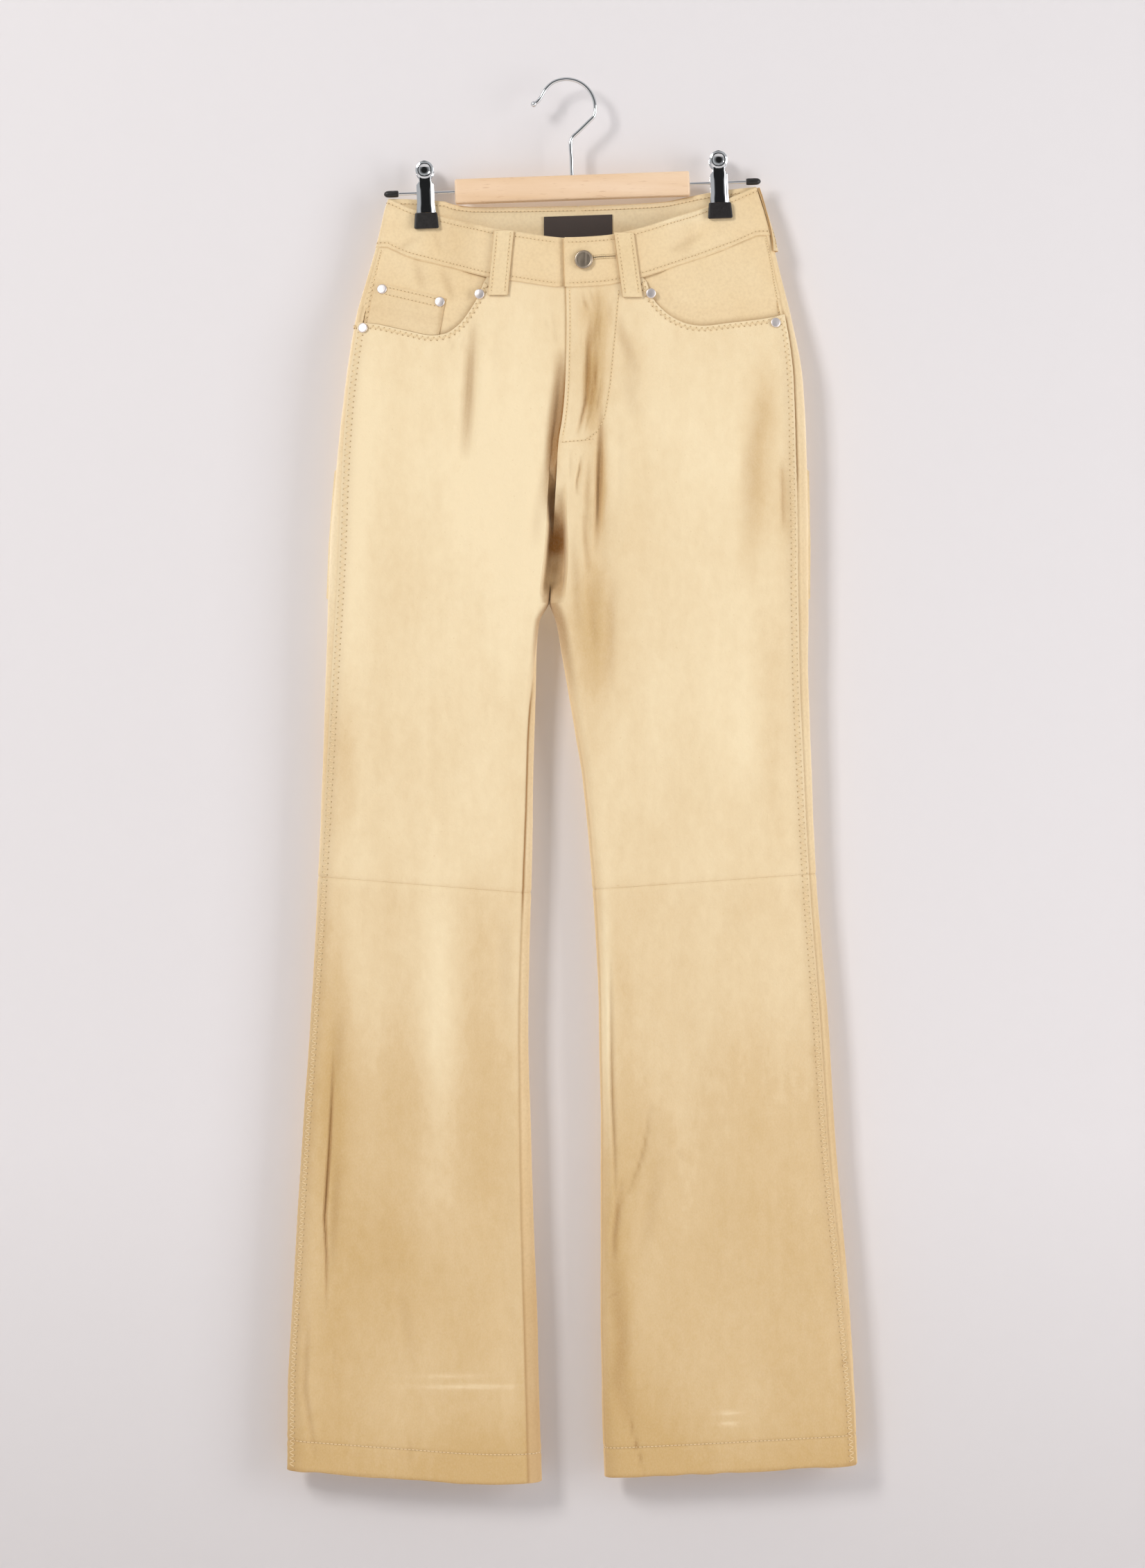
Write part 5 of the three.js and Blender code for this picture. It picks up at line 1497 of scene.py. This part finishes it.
# ---------------------------------------------------------------- hanger
TILT = math.radians(2)
WIRE, HOOK_RADIUS = 1.65, 24.3
STEM_X, BAR_Z = 2.6, -90.8
BAR_LENGTH, BAR_HEIGHT, BAR_DEPTH = 199, 20.6, 11
ROD, ROD_REACH, CAP_LENGTH = 1.25, 160, 12.5
CLIP_X = {"left": -122, "right": 127}
CLIP_TOP, CLIP_SHOULDER, CLIP_HALF, CLIP_LEAN = -64.5, -84.6, 7.4, math.radians(5)
PAD_RADIUS, PAD_NECK = 7.7, 4.9
JAW_TOP, JAW_FOOT, JAW_HEAD_HALF, JAW_FOOT_HALF, JAW_DEPTH = -108.4, -121.6, 9.4, 10.6, 3.8
JAW_FACE = PINCH_DEPTH + BAND_PROUD + 0.45


def tilted(points):
    """Turns points of the hanger about the hook's inside top, right end up."""
    x, y, z = np.moveaxis(np.asarray(points, float), -1, 0)
    c, s = math.cos(TILT), math.sin(TILT)
    return np.stack([x * c - z * s, y, x * s + z * c], axis=-1)


def hanger_piece(name, shape, material, node, sharp=40):
    points, faces = shape
    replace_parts(new_mesh(name, tilted(points), faces, material, sharp), node)


def smooth_path(points, per=10):
    """A curve through points: cubic pieces whose slope at a point comes from its neighbours,
    weighted by the square roots of the distances to them."""
    p = np.asarray(points, float)
    t = np.r_[0, np.cumsum(np.linalg.norm(np.diff(p, axis=0), axis=1) ** 0.5)][:, None]
    slope = np.diff(p, axis=0) / np.diff(t, axis=0)
    mid = slope[:-1] + slope[1:] - (p[2:] - p[:-2]) / (t[2:] - t[:-2])
    m = np.concatenate([slope[:1], mid, slope[-1:]])
    f = (np.arange(per) / per)[None, :, None]
    h = (t[1:] - t[:-1])[:, None]
    a, b = p[:-1, None], p[1:, None]
    path = a * (2 * f ** 3 - 3 * f ** 2 + 1) + b * (3 * f ** 2 - 2 * f ** 3) \
        + h * m[:-1, None] * (f ** 3 - 2 * f ** 2 + f) + h * m[1:, None] * (f ** 3 - f ** 2)
    return np.concatenate([path.reshape(-1, 3), p[-1:]])


def hook():
    """Round wire: a ball end, most of a circle, and a bent neck down to the bar."""
    centre = -HOOK_RADIUS + WIRE
    angle = np.radians(np.linspace(118, -18, 9))
    arc = np.stack([HOOK_RADIUS * np.cos(angle), 0 * angle,
                    centre + HOOK_RADIUS * np.sin(angle)], axis=1)
    tail = [(-27.6, 0, -18.6), (-24.6, 0, -16.8), (-21.3, 0, -12.8), (-17.2, 0, -6.4)]
    neck = [(17.4, 0, -36), (10.4, 0, -42.4), (4.2, 0, -48), (STEM_X, 0, -51.5),
            (STEM_X, 0, -66), (STEM_X, 0, BAR_Z + BAR_HEIGHT / 2 + 0.3)]
    wire = tube(smooth_path([*tail, *arc, *neck]), WIRE, 20)
    polar = np.linspace(0, math.pi, 17)
    ball = lathe(np.stack([2.7 * np.sin(polar), -2.7 * np.cos(polar)], axis=1), 28, tail[0],
                 (-1.0, 0.0, -0.6))
    hanger_piece("hook_wire", merged(wire, ball), CHROME, "hook")


def rounded_bar():
    """A wooden bar: a rounded rectangle carried along its length and drawn in at the ends, with
    a wider chamfer along its lower front edge."""
    corner, steps = 1.6, 6
    w, h = BAR_DEPTH / 2, BAR_HEIGHT / 2
    bend = np.linspace(0, math.pi / 2, steps)
    section = []
    for k, (sy, sz) in enumerate(((1, 1), (-1, 1), (-1, -1), (1, -1))):
        turn = bend + k * math.pi / 2
        r = np.array([corner, corner * (1.9 if sz < 0 else 1)])
        section.append(np.stack([sy * (w - r[0]) + r[0] * np.cos(turn),
                                 sz * (h - r[1]) + r[1] * np.sin(turn)], axis=1))
    section = np.concatenate(section)
    inset = corner * (1 - np.sin(bend))
    back = corner * (1 - np.cos(bend))
    end = BAR_LENGTH / 2
    x = np.r_[back - end, np.linspace(-end + 8, end - 8, 20), (end - back)[::-1]]
    draw = np.r_[inset, np.zeros(20), inset[::-1]]
    shrink = np.stack([1 - draw / w, 1 - draw / h], axis=1)
    rings = np.concatenate([np.broadcast_to(x[:, None, None], (len(x), len(section), 1)),
                            section[None] * shrink[:, None]], axis=2)
    return rings.reshape(-1, 3) + (STEM_X, 0, BAR_Z), capped_faces(len(x), len(section))


def swept_plate(half_width, centre_y, heights, thick, power=6, emboss=None):
    """A pressed plate: at each height a superellipse section as wide as its outline, closed by
    shrinking to its ends. emboss moves points in y by a formula of x and z."""
    angle = np.linspace(0, 2 * math.pi, 48, endpoint=False)
    c, s = np.cos(angle), np.sin(angle)
    ring_x = np.sign(c) * np.abs(c) ** (2 / power)
    ring_y = np.sign(s) * np.abs(s) ** (2 / power)
    x = half_width[:, None] * ring_x
    y = thick / 2 * ring_y + np.zeros(x.shape)
    z = np.broadcast_to(heights[:, None], x.shape)
    if emboss is not None:
        y = y + emboss(x, z)
    points = np.stack([x, y + centre_y, z], axis=-1).reshape(-1, 3)
    return points, [f[:, ::-1] for f in capped_faces(len(heights), len(angle))]


def clip_plate(face):
    """A sprung chrome plate: flared foot, straight body with rolled edges, narrow neck and a round
    pad with a pressed ring and dished centre. It leans away from the cloth at the top."""
    sign = -1 if face == "front" else 1
    top, shoulder = CLIP_TOP - JAW_TOP, CLIP_SHOULDER - JAW_TOP
    pad = top - PAD_RADIUS
    z = np.r_[np.linspace(0.3, shoulder, 30), np.linspace(shoulder + 0.4, pad - 6, 8),
              pad + PAD_RADIUS * np.sin(np.linspace(-0.87, math.pi / 2 - 0.02, 34))]
    outline = table("z half", (0.3, CLIP_HALF + 0.8), (9, CLIP_HALF), (shoulder, CLIP_HALF),
                    (shoulder + 3, PAD_NECK), (pad - 5.9, PAD_NECK))
    half = np.where(z < pad - 5.9, np.interp(z, outline["z"], outline["half"]),
                    np.sqrt(np.maximum(PAD_RADIUS ** 2 - (z - pad) ** 2, 0.01)))

    def emboss(x, z):
        reach = np.hypot(x, z - pad)
        ring = 0.55 * bell(reach - 5.6, 1.1) - 0.35 * (1 - ramp(reach, 2.5, 4.8))
        body = ramp(pad - z, 7, 11)
        flange = -1.5 * ramp(np.abs(x), 4.4, 7.4) * body
        rib = 0.5 * bell(np.abs(x) - 2.6, 0.9) * body * ramp(z, 3, 8) * (1 - ramp(z, 19, 23))
        return sign * (ring * (1 - body) + flange + rib)
    points, faces = swept_plate(half, 0.0, z, 1.3, 5, emboss)
    y, up = points[:, 1].copy(), points[:, 2].copy()
    lean = sign * CLIP_LEAN
    points[:, 1] = y * math.cos(lean) + up * math.sin(lean) + sign * (JAW_FACE + JAW_DEPTH / 2)
    points[:, 2] = up * math.cos(lean) - y * math.sin(lean) + JAW_TOP
    return points, faces


def clip_jaw(face):
    """A moulded rubber jaw: a rounded block that widens downwards."""
    sign = -1 if face == "front" else 1
    t = np.linspace(0, 1, 30)
    z = lerp(JAW_TOP, JAW_FOOT, t)
    down, up = JAW_TOP - z, z - JAW_FOOT
    ends = 1.2 * (1 - np.sqrt(1 - np.clip(1 - up / 1.2, 0, 1) ** 2)) \
        + 0.7 * (1 - np.sqrt(1 - np.clip(1 - down / 0.8, 0, 1) ** 2))
    half = lerp(JAW_HEAD_HALF, JAW_FOOT_HALF, t) - ends
    return swept_plate(half[::-1], sign * (JAW_FACE + JAW_DEPTH / 2), z[::-1], JAW_DEPTH, 7)


def hanger():
    hook()
    hanger_piece("wooden_bar", rounded_bar(), BEECH, "bar", 30)
    cap = [(0, 0), (2.4, 0), (2.9, 0.8), (2.9, 8.6), (2.55, 10.4), (1.6, 11.9), (0, CAP_LENGTH)]
    for side, sign in SIGN.items():
        start, end = BAR_LENGTH / 2 + 0.3, ROD_REACH - CAP_LENGTH - 0.3
        line = [(STEM_X + sign * x, 0, BAR_Z) for x in np.linspace(start, end, 12)]
        hanger_piece(f"rod_{side}_wire", tube(line, ROD, 20), CHROME, f"rod_{side}")
        foot = (STEM_X + sign * (ROD_REACH - CAP_LENGTH), 0, BAR_Z)
        hanger_piece(f"end_cap_{side}_rubber", lathe(smooth_profile(cap), 32, foot, (sign, 0, 0)),
                     RUBBER, f"end_cap_{side}")
        place = np.array([CLIP_X[side], 0.0, 0.0])
        for face in ("front", "back"):
            for kind, make, look, slot in (("plate", clip_plate, CHROME, "chrome"),
                                           ("jaw", clip_jaw, RUBBER, "black_rubber")):
                points, faces = make(face)
                hanger_piece(f"clip_{kind}_{face}_{side}_piece", (points + place, faces), look,
                             f"clip_{kind}_{face}_{side}")
        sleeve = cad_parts[f"clip_sleeve_{side}"]
        sleeve.data.materials.clear()
        sleeve.data.materials.append(CHROME)


hanger()

# ---------------------------------------------------------------- studio
FLOOR_Z, WALL_Y = -1.42, 0.022    # metres, as all of the studio
LIT_POINT = (0, 0, -0.6)
WALL_PAINT = srgb(226, 222, 223)


def plane(name, corners, material):
    mesh = bpy.data.meshes.new(name)
    mesh.from_pydata(corners, [], [(0, 1, 2, 3)])
    mesh.materials.append(material)
    made = placed(name, mesh)
    made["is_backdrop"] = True
    return made


def paint(name, color):
    f = Finish(name, color=color, roughness=0.9)
    f.set(Normal=f.bump(f.noise(14, 3), 0.002, 0.1))
    return f


def one_sided_wall():
    """A pale wall behind the garment that is clear from its own back."""
    f = paint("wall_paint", WALL_PAINT)
    height = f.node("SeparateXYZ", {0: f.place()}, out=2)
    # painted shade: the wall is darker towards the floor
    f.set(**{"Base Color": f.mix(f.spread(height, -1.32, -0.9), srgb(209, 205, 205), WALL_PAINT)})
    out = f.tree.nodes["Material Output"]
    clear = f.node("BsdfTransparent")
    mixed = f.node("MixShader", {0: f.node("NewGeometry", out="Backfacing"),
                                 1: f.shader.outputs[0], 2: clear})
    f.tree.links.new(mixed, out.inputs["Surface"])
    wall = plane("wall", [(-2.5, WALL_Y, FLOOR_Z), (2.5, WALL_Y, FLOOR_Z), (2.5, WALL_Y, 1.2),
                          (-2.5, WALL_Y, 1.2)], f.material)
    wall.visible_shadow = False


one_sided_wall()
plane("floor", [(-4, -4, FLOOR_Z), (4, -4, FLOOR_Z), (4, 4, FLOOR_Z), (-4, 4, FLOOR_Z)],
      paint("floor_paint", srgb(224, 220, 219)).material)


def area_light(name, place, size, power, color=(1, 1, 1)):
    """A rectangular lamp turned towards the garment's middle."""
    data = bpy.data.lights.new(name, "AREA")
    data.shape, data.size, data.size_y = "RECTANGLE", size[0], size[1]
    data.energy, data.color = power, color
    light = placed(name, data)
    light.location = place
    x, y, z = np.array(LIT_POINT) - place
    light.rotation_euler = (math.pi / 2 + math.atan2(z, math.hypot(x, y)), 0,
                            math.atan2(y, x) - math.pi / 2)


area_light("key", (-2.0, -2.6, 1.1), (0.8, 1.1), 60, (1.0, 0.985, 0.965))
area_light("fill", (2.8, -1.7, -0.3), (1.4, 2.0), 44, (0.98, 0.985, 1.0))
area_light("back_left", (-1.8, 2.2, 0.6), (1.4, 1.6), 34)
area_light("back_right", (1.8, 2.2, 0.2), (1.4, 1.6), 24)
bpy.context.scene.view_settings.view_transform = "Standard"


def studio_air():
    """Soft even light from all round, dark on the camera's side so that chrome has contrast."""
    world = bpy.data.worlds.new("studio")
    bpy.context.scene.world = world
    world.use_nodes = True
    nodes, links = world.node_tree.nodes, world.node_tree.links
    coords = nodes.new("ShaderNodeTexCoord")
    split = nodes.new("ShaderNodeSeparateXYZ")
    links.new(coords.outputs["Generated"], split.inputs[0])
    dim = nodes.new("ShaderNodeMapRange")
    for i, value in enumerate((-0.97, -0.82, 0.02, 0.54)):
        dim.inputs[i + 1].default_value = value
    links.new(split.outputs["Y"], dim.inputs[0])
    background = nodes["Background"]
    background.inputs["Color"].default_value = (0.93, 0.94, 0.96, 1)
    links.new(dim.outputs[0], background.inputs["Strength"])


studio_air()

{"cad": CAD_BOX, "visual": [list(corner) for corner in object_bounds()]}
